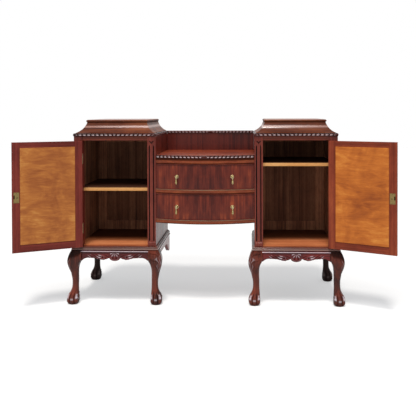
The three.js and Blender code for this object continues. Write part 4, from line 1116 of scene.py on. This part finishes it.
def under_door(angle, share):
    """Painted shadow of the open door on an outer knee, above a line that rises from its outward side to the apron."""
    line = 0.32 * turned(angle) / math.pi
    return 0.85 * HOLLOW * smoothstep(share, 0.7 + line, 0.76 + line)


def rounded(ratio, power):
    """A circle's sine or cosine, drawn out towards a square as the power grows."""
    return np.sign(ratio) * np.abs(ratio) ** (2 / power)


def leg_shape(corner_x, corner_y, out_x, out_y, kick_x, kick_y, shaded, reach, spread):
    """Cabriole leg at a carcass corner; shaft and foot are set off outwards, and y goes no further than reach."""
    angle = circle(LEG_SIDES)
    c, s = np.cos(angle), np.sin(angle)
    rows, marks = [], []
    for share in np.linspace(0, 1, LEG_LEVELS + 1):
        out_reach, in_reach = curve(share, LEG_OUT), curve(share, LEG_IN)
        centre, half = LEG_BLOCK * (out_reach - in_reach) / 2, LEG_BLOCK * (out_reach + in_reach) / 2
        power = 2 + 5 * smoothstep(share, 0.6, 1)
        swell, foot_mark = claw(angle, share)
        leaf, leaf_mark = knee_leaf(angle, share, spread)
        grow = leaf * LEAF_RELIEF - LEG_SLIM
        kick = 1 - smoothstep(share, 0.3, 0.66)
        u = centre + rounded(c, power) * half * swell + c * grow + kick * kick_x
        v = centre + rounded(s, power) * half * swell + s * grow + kick * kick_y
        rows.append(stack(corner_x + out_x * u, corner_y + out_y * np.minimum(v, reach), share * (LEG_TOP - SEAT)))
        # Painted shade: the door's shadow on an outer knee, or a darker top on the other legs under the apron
        shade = under_door(angle, share) if shaded else 0.3 * HOLLOW * smoothstep(share, 0.86, 0.97)
        marks.append(np.clip(foot_mark + leaf_mark * (1 + shade) + shade, HOLLOW, CREST))
    return Shape().grid(rows, marks=marks)


def make_legs():
    back_reach = high("left_leg_back_outer")[1] - DEPTH
    corners = {
        "front_inner": (CARCASS_IN, FACE, -1, -1, 3, 2, False, LEG_BLOCK, 1.35),
        "front_outer": (CARCASS_OUT, FACE, 1, -1, 8, 4, True, LEG_BLOCK, 1.0),
        "back_outer": (CARCASS_OUT, DEPTH, 1, 1, 5, 0, False, back_reach, 1.0),
    }
    for name, side in SIDES:
        for place, corner in corners.items():
            make_piece(f"{name}_{place}_cabriole", leg_shape(*corner), "carcass", [f"{name}_leg_{place}"],
                       [back_leg_in_shade if place == "back_outer" else carved_leg], 50, side)


# ---------------------------------------------------------------- CAD boards that stay
def dress_node(node, *materials, pick=None, edge=0.7):
    """Gives a CAD board its wood and softens its edges; pick(centre, normal) chooses among two materials."""
    board = frame["nodes"][node]
    mesh = board.data
    mesh.materials.clear()
    for material in materials:
        mesh.materials.append(material)
    for polygon in mesh.polygons:
        polygon.material_index = int(pick(polygon.center, polygon.normal)) if pick else 0
    weld = board.modifiers.new("weld", "WELD")
    weld.merge_threshold = 1e-5
    bevel = board.modifiers.new("edges", "BEVEL")
    bevel.width = edge * MM
    bevel.segments = 2
    bevel.limit_method = "ANGLE"
    bevel.angle_limit = math.radians(40)


def in_groove(centre, normal):
    """Whether a face lies on the floors or walls of the grooves and the chevron that are cut in a post's face, which
    take near-black wood as painted shade.
    """
    return 0.8 < centre.y / MM - ORIGIN[1] - FACE < 4.2


def dress_boards():
    for name, side in SIDES:
        dress_node(name + "_frieze_rail", frieze_wood)
        for place, outward in (("inner", -side), ("outer", side)):
            dress_node(f"{name}_post_{place}", post_wood, post_groove_shade, pick=in_groove)
            dress_node(f"{name}_side_{place}", mahogany["Z"], inside,
                       pick=lambda centre, normal, o=outward: normal.x * o < -0.5)
        dress_node(name + "_back_panel", back_wood)
        # Painted shade on the shelf's top and ends; its front keeps the pale wood
        dress_node(name + "_shelf", shelf_face, shelf_wood, pick=lambda centre, normal: normal.y < -0.5)
        for place in ("lower", "upper"):
            dress_node(f"{name}_hinge_{place}", brass, edge=0.3)
        dress_node(name + "_door_bolt", brass, edge=0.5)
    dress_node("centre_back", inside)
    for name in ("upper", "lower"):
        dress_node(name + "_drawer_box", drawer_wood, edge=0.5)


# ---------------------------------------------------------------- stage and light
FLOOR_HALF = 14.0  # metres
FLOOR_SHADE, FLOOR_GLOW = 0.55, 0.44
FILL = 0.52
LAMP_AIM = Vector((0, 0, 0.6))


def make_stage():
    tree = Tree(bpy.data.materials.new("studio_floor"))
    tree.set(Base_Color=(FLOOR_SHADE, FLOOR_SHADE, FLOOR_SHADE, 1), Roughness=0.9, Specular_IOR_Level=0.0,
             Emission_Color=(1, 1, 1, 1), Emission_Strength=tree.math("MULTIPLY", tree.seen(), FLOOR_GLOW))
    mesh = bpy.data.meshes.new("studio_floor")
    corners = ((-1, -1), (1, -1), (1, 1), (-1, 1))
    mesh.from_pydata([(x * FLOOR_HALF, y * FLOOR_HALF, 0) for x, y in corners], [], [range(4)])
    mesh.materials.append(tree.owner)
    floor = new_object("studio_floor", mesh)


def make_world():
    """White to the camera and in reflections, with a soft fill for all other light."""
    world = bpy.data.worlds.new("studio")
    bpy.context.scene.world = world
    tree = Tree(world)
    fill = tree.nodes["Background"]
    tree.fill(fill.inputs, {0: (0.93, 0.96, 1.0, 1), 1: FILL})
    white = tree.node("ShaderNodeBackground", {0: (1, 1, 1, 1), 1: 1.0})
    both = tree.node("ShaderNodeMixShader", {0: tree.seen(), 1: fill.outputs[0], 2: white.outputs[0]})
    tree.fill(tree.nodes["World Output"].inputs, {0: both.outputs[0]})


def make_lamp(name, kind, energy, shade, azimuth, height, distance=0.0, **settings):
    """Lamp in front and above, turned to the piece, at an azimuth to the left and a height in degrees."""
    data = bpy.data.lights.new(name, kind)
    data.energy, data.color = energy, shade
    for key, value in settings.items():
        setattr(data, key, value)
    azimuth, height = math.radians(azimuth), math.radians(height)
    towards = Vector((-math.sin(azimuth) * math.cos(height), -math.cos(azimuth) * math.cos(height), math.sin(height)))
    lamp = new_object(name, data)
    if distance:
        lamp.location = LAMP_AIM + distance * towards
    lamp.rotation_euler = towards.to_track_quat("Z", "Y").to_euler()


bpy.context.scene.view_settings.view_transform = "Standard"
make_stage()
make_world()
make_lamp("sun", "SUN", 1.8, (1.0, 0.97, 0.92), 6, 72, angle=math.radians(8))
make_lamp("softbox", "AREA", 100, (1.0, 0.98, 0.97), 8, 62, 5.0, shape="RECTANGLE", size=3.0, size_y=1.0)
make_caps()
make_centre()
make_drawers()
make_pulls()
make_doors()
make_bases()
make_aprons()
make_legs()
dress_boards()

bpy.context.view_layer.update()
